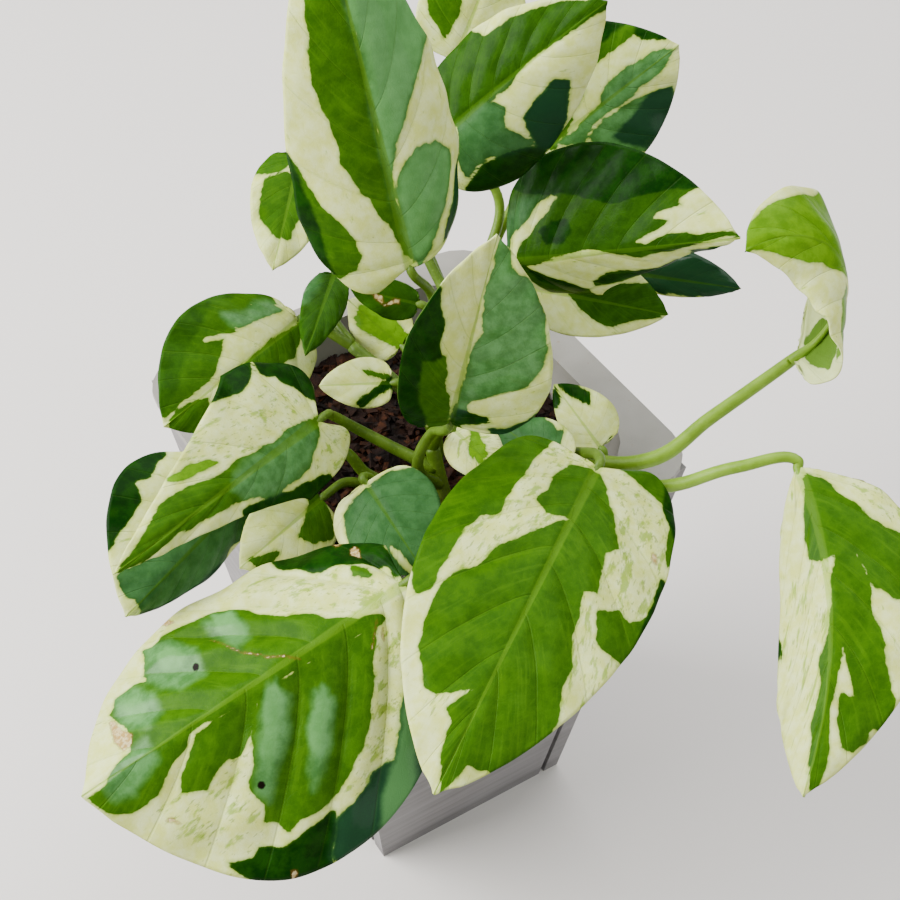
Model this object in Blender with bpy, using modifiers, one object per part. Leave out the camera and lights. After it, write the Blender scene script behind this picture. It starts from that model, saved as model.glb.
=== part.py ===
"""Potted variegated pothos in a square tapered wooden planter, in metres, +Z up.

The origin is the middle of the planter's underside. The planter's sides face X and Y. The plant
is described in its own frame, in millimetres, with its front towards -Y, and is turned in the pot.
"""

from dataclasses import dataclass
from math import atan2, cos, pi, radians, sin

import bmesh
import bpy
from mathutils import Matrix, Vector, noise

MM = 0.001

# Planter box, millimetres
BOX_HEIGHT = 124.0
BOX_TOP = 91.0
BOX_BOTTOM = 56.0
BOARD = 4.5
BOARD_SLOT = 1.6
POST = 5.0
POST_SHORT_OF_TOP = 3.0
FLOOR_THICKNESS = 5.0
SEAT_GAP = 0.3

# Liner pot, millimetres
RIM_SIDE = 96.5
RIM_THICKNESS = 1.6
RIM_RADIUS = 12.0
LINER_WALL = 1.2
LINER_CLEARANCE = 0.6
LINER_RADIUS = 18.0
CORNER_STEPS = 5

# Soil, millimetres
SOIL_DEPTH_BELOW_RIM = 11.0
SOIL_RINGS = 8
SOIL_BUMP = 3.0
SOIL_LUMP_SIZE = 9.0
HOLE_DEPTH = 14.0
HOLE_CLEARANCE = 0.35
HOLE_SIDES = 10

# Plant
PLANT_TURN = radians(-32.0)
PLANT_SHIFT = (-1.2, 0.0, 0.0)
BLADE_THICKNESS = 0.7
STALK_SIDES_LEVEL = 1
STALK_STEPS = 3
STALK_END_RADIUS = 1.05
STALK_GAP = 0.3

# Leaf outline and side veins
LARGE_BLADE = 45.0
LARGE_GRID = (8, 12)
SMALL_GRID = (6, 9)
WELD_DISTANCE = 0.00002
LOBE_SHARE = 0.28
LOBE_START = radians(25.0)
TIP_POWER = 0.85
RIB_LOBE_END = 0.10
RIB_POWER = 1.1
VEIN_POWER = 1.3
PINCH_REACH = 0.5
RIPPLE_STEP = 1.7

RIM_TOP = BOX_HEIGHT + SEAT_GAP + RIM_THICKNESS
SOIL_TOP = RIM_TOP - SOIL_DEPTH_BELOW_RIM

GREY_WASH = (0.205, 0.2, 0.195)
DARK_WOOD = (0.03, 0.016, 0.009)
LINER_WHITE = (0.56, 0.54, 0.46)
HUSK_BROWN = (0.035, 0.014, 0.006)
STALK_GREEN = (0.17, 0.25, 0.055)
LEAF_GREEN = (0.09, 0.22, 0.02)


@dataclass
class Blade:
    """One leaf blade. Lengths are millimetres, angles are degrees, pairs are (left, right).

    base, tip: the ends of the midrib. roll: the blade's turn about the line between them.
    width: from the midrib to the edge. lift, curl: how each half rises at the midrib and bends.
    bend: the arch of the midrib. sweep: how far its middle lies to one side. twist: base to tip.
    lobe: how far each lobe reaches behind the base, widest: where the half is widest, both as
    parts of the length. full: how slowly the half narrows to the tip. pinch: how far the half is
    drawn in at its base, 0 being not at all.
    wave, waves, phase: the height, count and start of the edge's ripples.
    seat: how near the stalk comes, 1 being where it clears both lobes.
    """

    name: str
    base: tuple
    tip: tuple
    roll: float
    width: tuple
    lift: tuple = (0, 0)
    curl: tuple = (-15, -15)
    bend: float = 18
    sweep: float = 0
    twist: float = 0
    lobe: tuple = (0.10, 0.10)
    widest: tuple = (0.33, 0.33)
    full: tuple = (1.9, 1.9)
    pinch: tuple = (0, 0)
    wave: float = 0.5
    waves: float = 2.5
    phase: float = 0.0
    seat: float = 1.0


LEAVES = [
    Blade("leaf_01", (2, -20, 187), (-14, 4, 256), 24, (20, 19), curl=(-40, -75), lift=(5, 8),
          lobe=(0.13, 0.05), widest=(0.2, 0.33), seat=0.55),
    Blade("leaf_02", (8, 13, 195), (42, 21, 223), -40, (14, 19), curl=(-20, -70), lift=(0, 5),
          lobe=(0.1, 0.25), widest=(0.4, 0.2)),
    Blade("leaf_03", (31, 30, 180), (60, 38, 202), -51, (22, 15)),
    Blade("leaf_04", (23, 6, 167), (70, -8, 185), -55, (24, 16), lift=(0, -48), bend=25,
          widest=(0.35, 0.3), full=(2.1, 0.75)),
    Blade("leaf_05", (10, -32, 155), (19, -30, 203), -67, (14, 18), lift=(35, 5),
          widest=(0.42, 0.33)),
    Blade("leaf_06", (-24, 4, 152), (-51, -27, 149), 39, (14, 18), full=(2.1, 2.4),
          pinch=(0.2, 0.5)),
    Blade("leaf_07", (-16, 12, 159), (-21, -14, 158), 17, (5, 5), lobe=(0.05, 0.05)),
    Blade("leaf_08", (-18, -26, 150), (-55, -73, 154), 37, (13, 20), lift=(-12, 0), bend=25,
          lobe=(0.22, 0.2), widest=(0.2, 0.2), full=(0.65, 0.85)),
    Blade("leaf_09", (-33, -36, 139), (-56, -67, 134), 36, (11, 23), lift=(-40, 0),
          pinch=(0, 0.3), seat=0.75),
    Blade("leaf_10", (-18, -33, 133), (-34, -53, 133), 33, (10, 9)),
    Blade("leaf_11", (-8, -35, 140), (5, -54, 132), -22, (12, 12)),
    Blade("leaf_12", (1, -65, 142), (-62, -101, 120), 35, (39, 30), lift=(0, -38), bend=20,
          lobe=(0.02, 0.12), widest=(0.5, 0.5), full=(2.4, 2.8)),
    Blade("leaf_13", (41, -37, 147), (7, -108, 131), 15, (23.5, 25.5), bend=25,
          lobe=(0.2, 0.14), widest=(0.3, 0.36), full=(1.9, 2.0)),
    Blade("leaf_14", (82, -41, 151), (79, -101, 120), -10, (21, 13), lift=(0, -30), sweep=-6,
          bend=20, lobe=(0.05, 0.0), widest=(0.33, 0.6)),
    Blade("leaf_15", (85, -11, 154), (71, -10, 183), -20, (19, 19), lift=(-35, 18), bend=190,
          curl=(-10, -15), twist=60, lobe=(0.1, 0.0), widest=(0.22, 0.36), full=(2.0, 2.2),
          pinch=(0, 0.8), seat=0.65),
    Blade("leaf_16", (-24, 33, 176), (-29, 6, 165), 16, (9, 9)),
    Blade("leaf_17", (11, 35, 200), (21, 43, 224), -43, (12, 12)),
    Blade("leaf_18", (28, 12, 155), (59, 5, 153), -50, (12, 9)),
    Blade("leaf_19", (53, 18, 154), (75, 8, 158), -52, (7, 4)),
    Blade("leaf_20", (-1, 0, 148), (-13, 9, 154), 45, (7, 7)),
    Blade("leaf_21", (-3, -10, 146), (-19, -11, 146), 45, (5.5, 6)),
    Blade("leaf_22", (11, -25, 146), (22, -36, 142), -31, (6, 6)),
    Blade("leaf_23", (34, -31, 140), (21, -18, 141), 36, (8, 8)),
    Blade("leaf_24", (43.6, -16.6, 132.5), (33.3, -5.9, 141.8), 31, (5, 8)),
    Blade("leaf_25", (3, -9, 168), (-11, -9, 172), 40, (4.5, 4)),
]

# Each vine: its stem's points from the soil up, the stem's radius, and the points of the stalk
# of each leaf, from the stem to just before the leaf.
VINES = {
    "vine_a": (
        [(6, -13, 116), (6, -12, 134), (-2, -7, 143), (-12, 0, 148)],
        1.7,
        {
            "leaf_06": [(-12, 0, 148), (-18, 2, 151)],
            "leaf_07": [(-12, 0, 148), (-17, 9, 151), (-16, 16, 156)],
            "leaf_20": [(0, -8, 141), (1, -3, 145)],
            "leaf_21": [(4, -11, 137), (3, -9, 142)],
        },
    ),
    "vine_b": (
        [(11, -25, 116), (8, -22, 126), (6, -19, 135)],
        2.0,
        {
            "leaf_08": [(7, -21, 130), (-3, -18, 134), (-11, -17, 139), (-15.5, -19.5, 145)],
            "leaf_09": [(9, -22, 122), (-8, -23, 130), (-14, -22, 137), (-24, -23, 138)],
            "leaf_10": [(9, -23, 120), (-4, -25, 125), (-12, -26, 131)],
            "leaf_05": [(8, -22, 126), (3, -26, 135), (6, -27, 147)],
            "leaf_11": [(9, -24, 121), (0, -30, 130)],
            "leaf_22": [(6, -19, 135), (8, -21, 142)],
        },
    ),
    "vine_c": (
        [(17, -8, 116), (15, -6, 130), (12, -3, 146), (10, 3, 158)],
        1.6,
        {
            "leaf_01": [(14, -5, 136), (8, -12, 160), (6, -16, 177)],
            "leaf_02": [(10, 3, 158), (19, 12, 167), (20, 19, 177), (8, 19, 186)],
            "leaf_03": [(11, 0, 152), (20, 14, 166)],
            "leaf_04": [(13, -4, 143), (18, 0, 157)],
            "leaf_17": [(10, 3, 158), (3, 14, 170), (3, 28, 189)],
            "leaf_18": [(14, -5, 138), (20, 2, 149)],
            "leaf_16": [(10, 3, 158), (0, 24, 166), (-18, 41, 173)],
            "leaf_19": [(12, -3, 146), (24, 12, 144), (42, 17, 148)],
            "leaf_25": [(12, -3, 146), (8, -6, 158)],
        },
    ),
    "vine_d": (
        [(29, -15, 116), (31, -16, 128), (33, -16, 135)],
        1.8,
        {
            "leaf_12": [(30, -15, 121), (22, -32, 128), (12, -52, 138)],
            "leaf_13": [(31, -16, 128), (38, -25, 139)],
            "leaf_14": [(30, -16, 124), (56, -35, 139), (70, -39, 149)],
            "leaf_15": [(31, -16, 130), (54, -24, 136), (67, -19, 144)],
            "leaf_23": [(31, -16, 128), (34, -24, 134)],
            "leaf_24": [(30, -16, 124), (38, -15, 127), (43.5, -17.5, 129)],
        },
    ),
}


def clear_scene():
    """Removes whatever the scene holds."""
    for item in list(bpy.data.objects):
        bpy.data.objects.remove(item, do_unlink=True)


def new_collection(name):
    """A collection under the scene's own."""
    made = bpy.data.collections.new(name)
    bpy.context.scene.collection.children.link(made)
    return made


def material(name, colour, roughness, metallic=0.0):
    """A plain Principled material of one colour."""
    made = bpy.data.materials.new(name)
    made.use_nodes = True
    shader = made.node_tree.nodes["Principled BSDF"]
    shader.inputs["Base Color"].default_value = (*colour, 1.0)
    shader.inputs["Roughness"].default_value = roughness
    shader.inputs["Metallic"].default_value = metallic
    made.diffuse_color = (*colour, 1.0)
    return made


def object_from(bm, name, collection, surface):
    """Turns a bmesh into an object of a collection with one material."""
    mesh = bpy.data.meshes.new(name)
    bm.to_mesh(mesh)
    bm.free()
    made = bpy.data.objects.new(name, mesh)
    mesh.materials.append(surface)
    collection.objects.link(made)
    return made


def to_world(point):
    """A point of the plant's own frame, millimetres, in the planter's frame, metres."""
    return Matrix.Rotation(PLANT_TURN, 3, "Z") @ (Vector(point) + Vector(PLANT_SHIFT)) * MM


# Leaf blades


def margin(blade, along, pick):
    """Where the edge of one half of the flat blade lies, at a station from 0, the notch, to 1, the tip.

    The first value is a part of the blade's length, the second is millimetres from the midrib.
    """
    widest = blade.widest[pick]
    narrowing = blade.pinch[pick] * (1 - min(along / PINCH_REACH, 1)) ** 2
    half_width = blade.width[pick] * (1 - narrowing)
    if along < LOBE_SHARE:
        angle = LOBE_START + (pi / 2 - LOBE_START) * along / LOBE_SHARE
        x = widest - (widest + blade.lobe[pick]) * cos(angle)
        return x, half_width * sin(angle)
    reach = sin(pi / 2 * (along - LOBE_SHARE) / (1 - LOBE_SHARE))
    x = widest + (1 - widest) * reach
    return x, half_width * (1 - reach ** blade.full[pick]) ** TIP_POWER


def rib_start(along):
    """Where the side vein of station 'along' leaves the midrib, from 0 at the base to 1 at the tip."""
    if along < LOBE_SHARE:
        return RIB_LOBE_END * (along / LOBE_SHARE) ** 2
    beyond = (along - LOBE_SHARE) / (1 - LOBE_SHARE)
    return RIB_LOBE_END + (1 - RIB_LOBE_END) * beyond**RIB_POWER


def blade_axes(blade):
    """Length of the chord and the directions along it, to its right and out of its upper face."""
    base = Vector(blade.base)
    chord = Vector(blade.tip) - base
    forward = chord.normalized()
    side = forward.cross(Vector((0, 0, 1))).normalized()
    face = side.cross(forward)
    turn = radians(blade.roll)
    right = side * cos(turn) + face * sin(turn)
    up = face * cos(turn) - side * sin(turn)
    return chord.length, forward, right, up


def rib_frame(blade, part):
    """Place, forward, right and up on the bent midrib at a part of its length, 0 to 1."""
    chord, forward, right, up = blade_axes(blade)
    bend = radians(max(blade.bend, 0.5))
    radius = chord / (2 * sin(bend / 2))
    angle = bend * (part - 0.5)
    place = Vector(blade.base) + forward * (radius * (sin(bend / 2) + sin(angle)))
    place = place + up * (radius * (cos(angle) - cos(bend / 2)))
    place = place + right * (4 * blade.sweep * part * (1 - part))
    ahead = forward * cos(angle) - up * sin(angle)
    out = up * cos(angle) + forward * sin(angle)
    twist = radians(blade.twist) * (part - 0.5)
    turned_right = right * cos(twist) + out * sin(twist)
    turned_out = out * cos(twist) - right * sin(twist)
    return place, ahead, turned_right, turned_out, radius * bend


def blade_point(blade, along, across):
    """A point of the blade in the plant's frame. 'across' runs from -1, left edge, to 1, right edge."""
    right_side = across >= 0
    pick = 1 if right_side else 0
    share = abs(across)
    edge_x, edge_y = margin(blade, along, pick)
    start = rib_start(along)
    part = start + (edge_x - start) * share**VEIN_POWER
    place, ahead, right, out, length = rib_frame(blade, part)
    lift = radians(blade.lift[pick])
    curl = radians(blade.curl[pick])
    if abs(curl) < 0.01:
        sideways = edge_y * share * cos(lift)
        outward = edge_y * share * sin(lift)
    else:
        sideways = edge_y / curl * (sin(lift + curl * share) - sin(lift))
        outward = edge_y / curl * (cos(lift) - cos(lift + curl * share))
    turns = 2 * pi * blade.waves * along
    ripple = blade.wave * share**2 * sin(turns + blade.phase + pick * RIPPLE_STEP)
    ripple = ripple * (1 - along**4)
    return place + right * (sideways if right_side else -sideways) + out * (outward + ripple)


def make_blade(blade, collection, surface):
    """A blade: a grid laid over the leaf's outline, bent as the leaf is, and given its thickness."""
    chord = (Vector(blade.tip) - Vector(blade.base)).length
    columns, rows = LARGE_GRID if chord > LARGE_BLADE else SMALL_GRID
    bm = bmesh.new()
    bmesh.ops.create_grid(bm, x_segments=columns, y_segments=rows, size=1.0)
    for corner in bm.verts:
        across = corner.co.x
        along = (corner.co.y + 1) / 2
        corner.co = to_world(blade_point(blade, along, across))
    bmesh.ops.remove_doubles(bm, verts=bm.verts, dist=WELD_DISTANCE)
    bmesh.ops.triangulate(bm, faces=bm.faces)
    made = object_from(bm, blade.name, collection, surface)
    made.data.shade_smooth()
    shell = made.modifiers.new("thickness", "SOLIDIFY")
    shell.thickness = BLADE_THICKNESS * MM
    shell.offset = 0.0
    return made


# Stems and stalks


def make_tube(name, points, radii, collection, surface):
    """A closed round tube through the points, as a mesh, with a radius at each of them."""
    curve = bpy.data.curves.new(name + "_path", "CURVE")
    curve.dimensions = "3D"
    curve.bevel_depth = 1.0
    curve.bevel_resolution = STALK_SIDES_LEVEL
    curve.use_fill_caps = True
    curve.resolution_u = STALK_STEPS
    curve.render_resolution_u = STALK_STEPS
    spline = curve.splines.new("BEZIER")
    spline.bezier_points.add(len(points) - 1)
    for knot, point, radius in zip(spline.bezier_points, points, radii):
        knot.co = to_world(point)
        knot.handle_left_type = "AUTO"
        knot.handle_right_type = "AUTO"
        knot.radius = radius * MM
    holder = bpy.data.objects.new(name + "_path", curve)
    collection.objects.link(holder)
    bpy.context.view_layer.update()
    evaluated = holder.evaluated_get(bpy.context.evaluated_depsgraph_get())
    mesh = bpy.data.meshes.new_from_object(evaluated)
    tube = bpy.data.objects.new(name, mesh)
    tube.matrix_world = holder.matrix_world
    bpy.data.objects.remove(holder, do_unlink=True)
    bpy.data.curves.remove(curve)
    bm = bmesh.new()
    bm.from_mesh(mesh)
    bmesh.ops.remove_doubles(bm, verts=bm.verts, dist=WELD_DISTANCE)
    bmesh.ops.recalc_face_normals(bm, faces=bm.faces)
    bm.to_mesh(mesh)
    bm.free()
    mesh.materials.clear()
    mesh.materials.append(surface)
    collection.objects.link(tube)
    return tube


def stalk_end(blade):
    """Where the middle of the stalk's end lies, in the notch behind the blade."""
    place, ahead, right, out, length = rib_frame(blade, 0.0)
    edge_x, edge_y = margin(blade, 0.0, 0)
    opening = atan2(edge_y, max(-edge_x * length, 0.01))
    wedge = (STALK_END_RADIUS + STALK_GAP) / sin(opening)
    return place - ahead * (wedge * blade.seat + 0.1)


def join_into(body, parts_collection):
    """Joins every object of a collection into one body and removes the collection's objects."""
    union = body.modifiers.new("join", "BOOLEAN")
    union.operation = "UNION"
    union.operand_type = "COLLECTION"
    union.collection = parts_collection
    union.solver = "EXACT"
    bpy.context.view_layer.update()
    evaluated = body.evaluated_get(bpy.context.evaluated_depsgraph_get())
    mesh = bpy.data.meshes.new_from_object(evaluated)
    body.modifiers.clear()
    body.data = mesh
    for item in list(parts_collection.objects):
        bpy.data.objects.remove(item, do_unlink=True)
    bpy.data.collections.remove(parts_collection)


def make_vine(name, stem_points, stem_radius, stalks, collection, surface):
    """A stem with its leaf stalks as one body. The stem's foot stands in its hole in the soil."""
    foot_x, foot_y = stem_points[0][:2]
    foot = (foot_x, foot_y, SOIL_TOP - HOLE_DEPTH + STALK_GAP)
    stem_points = [foot, (foot_x, foot_y, SOIL_TOP - HOLE_DEPTH / 2)] + stem_points
    radii = [stem_radius for point in stem_points]
    stem = make_tube(name, stem_points, radii, collection, surface)
    offcuts = new_collection(name + "_stalks")
    blades = {blade.name: blade for blade in LEAVES}
    for leaf_name, points in stalks.items():
        route = [Vector(point) for point in points] + [stalk_end(blades[leaf_name])]
        taper = [stem_radius * 0.9 - (stem_radius * 0.9 - STALK_END_RADIUS) * i / (len(route) - 1)
                 for i in range(len(route))]
        make_tube(leaf_name + "_stalk", route, taper, offcuts, surface)
    join_into(stem, offcuts)
    stem.data.shade_smooth()
    return stem


# Planter


def box_half(height):
    """Half the outer width of the tapered box at a height."""
    return (BOX_BOTTOM + (BOX_TOP - BOX_BOTTOM) * height / BOX_HEIGHT) / 2


def tapered_block(name, low, high, x_span, y_span, turn, collection, surface):
    """A block whose sides follow the box's taper. Each span is a function of the box's half width."""
    bm = bmesh.new()
    bmesh.ops.create_cube(bm, size=2.0)
    spin = Matrix.Rotation(turn, 3, "Z")
    for corner in bm.verts:
        z = high if corner.co.z > 0 else low
        half = box_half(z)
        x = x_span(half)[1 if corner.co.x > 0 else 0]
        y = y_span(half)[1 if corner.co.y > 0 else 0]
        corner.co = spin @ Vector((x, y, z)) * MM
    return object_from(bm, name, collection, surface)


def make_box(collection, wash, dark):
    """Four boards, each butting on the next one's back, four corner posts and the floor board."""
    for index, side in enumerate(("front", "right", "back", "left")):
        turn = pi / 2 * index
        tapered_block(
            "side_board_" + side, 0.0, BOX_HEIGHT,
            lambda half: (-half, half - BOARD - BOARD_SLOT),
            lambda half: (-half, -half + BOARD),
            turn, collection, wash,
        )
        inner = BOARD + SEAT_GAP
        tapered_block(
            "corner_post_" + side, FLOOR_THICKNESS + SEAT_GAP, BOX_HEIGHT - POST_SHORT_OF_TOP,
            lambda half: (-half + inner, -half + inner + POST),
            lambda half: (-half + inner, -half + inner + POST),
            turn, collection, dark,
        )
    floor_half = box_half(0) - BOARD - SEAT_GAP
    tapered_block(
        "floor_board", 0.0, FLOOR_THICKNESS,
        lambda half: (-floor_half, floor_half),
        lambda half: (-floor_half, floor_half),
        0.0, collection, dark,
    )


def round_square(half, radius, height):
    """The points of a square with round corners, counter-clockwise, at a height."""
    points = []
    for corner in range(4):
        middle = Matrix.Rotation(pi / 2 * corner, 3, "Z") @ Vector((half - radius, half - radius, 0))
        for step in range(CORNER_STEPS + 1):
            angle = pi / 2 * (corner + step / CORNER_STEPS)
            points.append(middle + Vector((radius * cos(angle), radius * sin(angle), height)))
    return points


def loft(name, loops, collection, surface):
    """A closed solid through loops of equally many points, with a flat cap at each end."""
    bm = bmesh.new()
    rows = [[bm.verts.new(point * MM) for point in loop] for loop in loops]
    for lower, upper in zip(rows, rows[1:]):
        for index in range(len(lower)):
            after = (index + 1) % len(lower)
            bm.faces.new((lower[index], lower[after], upper[after], upper[index]))
    bm.faces.new(list(reversed(rows[0])))
    bm.faces.new(rows[-1])
    bmesh.ops.triangulate(bm, faces=bm.faces)
    bmesh.ops.recalc_face_normals(bm, faces=bm.faces)
    return object_from(bm, name, collection, surface)


def liner_half(height):
    """Half the liner's outer width at a height, clear of the boards."""
    return box_half(height) - BOARD - LINER_CLEARANCE


def make_liner(collection, surface):
    """The plastic pot: a tapered cup with round corners and a flat rim that rests on the boards."""
    low = FLOOR_THICKNESS + SEAT_GAP
    floor = low + LINER_WALL
    seat = BOX_HEIGHT + SEAT_GAP
    inner_radius = LINER_RADIUS - LINER_WALL
    loops = [
        round_square(liner_half(low), LINER_RADIUS, low),
        round_square(liner_half(seat), LINER_RADIUS, seat),
        round_square(RIM_SIDE / 2, RIM_RADIUS, seat),
        round_square(RIM_SIDE / 2, RIM_RADIUS, RIM_TOP),
        round_square(liner_half(RIM_TOP) - LINER_WALL, inner_radius, RIM_TOP),
        round_square(liner_half(floor) - LINER_WALL, inner_radius, floor),
    ]
    return loft("liner", loops, collection, surface)


def soil_height(point):
    """How far the loose soil stands above or below its mean level at a place."""
    coarse = noise.noise(Vector((point.x, point.y, 3.0)) / SOIL_LUMP_SIZE)
    fine = noise.noise(Vector((point.x, point.y, 9.0)) / (SOIL_LUMP_SIZE * 0.45))
    return SOIL_BUMP * (0.7 * coarse + 0.5 * fine)


def make_soil(collection, cutters, surface):
    """The soil that fills the liner, lumpy on top, with a plain hole for each stem."""
    low = FLOOR_THICKNESS + SEAT_GAP * 2 + LINER_WALL
    fit = LINER_WALL + SEAT_GAP
    radius = LINER_RADIUS - fit
    top_half = liner_half(SOIL_TOP) - fit
    loops = [round_square(liner_half(low) - fit, radius, low)]
    for ring in range(SOIL_RINGS + 1):
        share = 1 - ring / (SOIL_RINGS + 1)
        loop = round_square(top_half * share, radius * share, SOIL_TOP)
        if ring:
            for point in loop:
                point.z += soil_height(point)
        loops.append(loop)
    soil = loft("soil", loops, collection, surface)
    for points, stem_radius, stalks in VINES.values():
        foot = to_world((points[0][0], points[0][1], SOIL_TOP))
        bpy.ops.mesh.primitive_cylinder_add(
            vertices=HOLE_SIDES, radius=(stem_radius + HOLE_CLEARANCE) * MM,
            depth=2 * HOLE_DEPTH * MM, location=foot,
        )
        cutter = bpy.context.object
        cutter.name = "stem_hole"
        cutter.hide_render = True
        cutter.display_type = "WIRE"
        for owner in list(cutter.users_collection):
            owner.objects.unlink(cutter)
        cutters.objects.link(cutter)
    holes = soil.modifiers.new("stem holes", "BOOLEAN")
    holes.operation = "DIFFERENCE"
    holes.operand_type = "COLLECTION"
    holes.collection = cutters
    holes.solver = "EXACT"
    return soil


def build():
    """The whole potted plant."""
    clear_scene()
    plant = new_collection("potted_pothos")
    cutters = new_collection("cutters")
    wash = material("grey washed wood", GREY_WASH, 0.8)
    dark = material("dark wood", DARK_WOOD, 0.85)
    make_box(plant, wash, dark)
    make_liner(plant, material("liner plastic", LINER_WHITE, 0.45))
    make_soil(plant, cutters, material("coco husk", HUSK_BROWN, 0.95))
    stalk_surface = material("stalk", STALK_GREEN, 0.45)
    for name, (points, radius, stalks) in VINES.items():
        make_vine(name, points, radius, stalks, plant, stalk_surface)
    leaf_surface = material("leaf", LEAF_GREEN, 0.4)
    for blade in LEAVES:
        make_blade(blade, plant, leaf_surface)


build()
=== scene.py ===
"""Dresses the potted pothos: leaves with their patches, stalks, soil, planter, light and camera.

The plant is described in its own frame, in millimetres, with its front towards -Y, as in part.py.
"""

from dataclasses import dataclass
from math import atan2, cos, pi, radians, sin

import bmesh
import bpy
import numpy as np
from mathutils import Matrix, Vector
from mathutils.bvhtree import BVHTree


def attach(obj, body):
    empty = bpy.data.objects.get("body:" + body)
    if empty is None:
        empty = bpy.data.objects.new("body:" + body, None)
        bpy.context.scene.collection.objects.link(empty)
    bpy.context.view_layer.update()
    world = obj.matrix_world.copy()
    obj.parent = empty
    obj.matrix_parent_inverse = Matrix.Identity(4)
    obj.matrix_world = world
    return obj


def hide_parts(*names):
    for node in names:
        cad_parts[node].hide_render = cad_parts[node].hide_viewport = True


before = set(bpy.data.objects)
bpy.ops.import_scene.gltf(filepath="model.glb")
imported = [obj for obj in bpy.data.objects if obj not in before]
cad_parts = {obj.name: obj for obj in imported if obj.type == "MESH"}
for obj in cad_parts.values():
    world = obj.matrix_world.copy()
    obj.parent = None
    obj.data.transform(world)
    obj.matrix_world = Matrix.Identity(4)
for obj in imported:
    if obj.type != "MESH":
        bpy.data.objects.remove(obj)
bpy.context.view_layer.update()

MM = 0.001
TINY = 1e-9

# Plant frame, camera and studio. Each lamp has a place and a target in the plant's frame, a size
# in metres, a power in watts and a tint.
PLANT_TURN = radians(-32.0)
PLANT_SHIFT = (-1.2, 0.0, 0.0)
CAMERA_PLACE = (10.0, -302.0, 417.0)
CAMERA_PITCH = radians(45.0)
CAMERA_LENS = 72.0
SENSOR_WIDTH = 36.0
FLOOR_REACH = 3.0
ROOM_TINT = (0.97, 0.98, 1.0, 1.0)
ROOM_STRENGTH = 0.36
LAMPS = {
    "window": ((-720, -60, 640), (0, 0, 110), 0.8, 25.0, (1.0, 0.99, 0.97)),
    "overhead": ((150, 500, 1150), (0, 0, 100), 1.5, 22.0, (1.0, 1.0, 1.0)),
    "fill": ((650, -500, 700), (0, 0, 100), 1.0, 4.0, (0.97, 0.98, 1.0)),
}

# Soil and the stems that stand in it
SOIL_TOP = 114.9
HOLE_DEPTH = 14.0
STEM_TAPER = 0.85
TUBE_ROUND = 4
TUBE_STEPS = 10
TUBE_WELD = 0.00001

# Chips of husk: lengths in millimetres, widths as parts of a length, tilts in radians. The
# reach and the height from which the soil is felt for are metres.
HUSK_REACH = 0.0425
HUSK_CHIPS = 3200
HUSK_SEED = 11
HUSK_LOWEST = SOIL_TOP - 8
FEEL_FROM = 0.2
CHIP_LENGTH = (1.5, 6.5)
SMALL_CHIP = 0.5
LARGE_CHIP_EVERY = 3
CHIP_WIDTH = (0.25, 0.7)
CHIP_THICKNESS = (0.4, 1.6)
CHIP_SKEW = 0.16
CHIP_SKEW_SHARES = (1, 0.6, 0.25)
CHIP_TILTS = (0.4, 0.3)
CHIP_RISE = (-0.2, 1.2)

# Stalks. The last three points run on under the midrib.
STALK_GAP = 0.3
STALK_END_RADIUS = 1.05
STALK_GIRTH = {"leaf_15": 1.4, "leaf_14": 1.2, "leaf_12": 1.2, "leaf_13": 1.2}
STALK_FROM_STEM = 0.76
STALK_RADIUS = 0.95
NOTCH_GAP = 0.1
LEAST_LOBE = 0.01
UNDER_PARTS = np.array([0.0, 0.1, 0.3])
UNDER_DROPS = np.array([[0.75], [1.25], [0.85]])
UNDER_RADII = (0.88, 0.62)
STALK_POINT = 0.3

# Leaf outline and side veins, as in the solids. The drip tip, the cut corners and the frill are
# only here.
LOBE_SHARE = 0.28
LOBE_START = radians(25.0)
TIP_POWER = 0.85
RIB_LOBE_END = 0.10
RIB_POWER = 1.1
VEIN_POWER = 1.3
PINCH_REACH = 0.5
DRIP_TIP = 0.3
DRIP_START = 0.84
CORNER_CUT = 0.2
CORNER_REACH = 0.12
BOLD_LOBES = {"leaf_12": 0.04, "leaf_01": 0.1}
RIPPLE = 0.5
RIPPLES = 2.5
RIPPLE_STEP = 1.7
FRILL = 0.35
FRILLS = 7.3
FRILL_STEP = 5

# Rows and columns of the fine leaf
CELL = 0.62
LOBE_ALONG = 0.12
LOBE_ROWS = 0.55
BODY_ROWS = 0.8
LEAST_LOBE_ROWS = 8
LEAST_ROWS = 14
TIP_CROWDING = 1.25
LEAF_WELD = 0.000004

# Relief of the fine leaf, millimetres. FULL_LENGTH and FULL_WIDTH are those of a leaf that has
# all of its relief.
MID_THICKNESS = 0.7
EDGE_THICKNESS = 0.3
EDGE_POWER = 8
RIB_CHANNEL = 0.4
RIB_KEEL = 0.55
RIB_WIDTH = 0.9
RIB_FADE = 0.7
VEINS_A_SIDE = 8
VEIN_STAGGER = 0.35
FULL_LENGTH = 50
FULL_WIDTH = 45
PILLOW = 0.03
PILLOW_SHARE = 0.45
PILLOW_ROUND = 0.7
PILLOW_LEVEL = 0.6
PILLOW_FLANK = 0.8
SMALL_LEAF_POWER = 1.5
RIDGED = {"leaf_12": 1.9, "leaf_13": 1.25}
PUCKER = 0.35
PUCKER_SIZE = 14
PUCKER_FLANK = 0.6
NOISE_WAVES = 9
NOISE_RATES = (0.5, 1.6)

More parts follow.
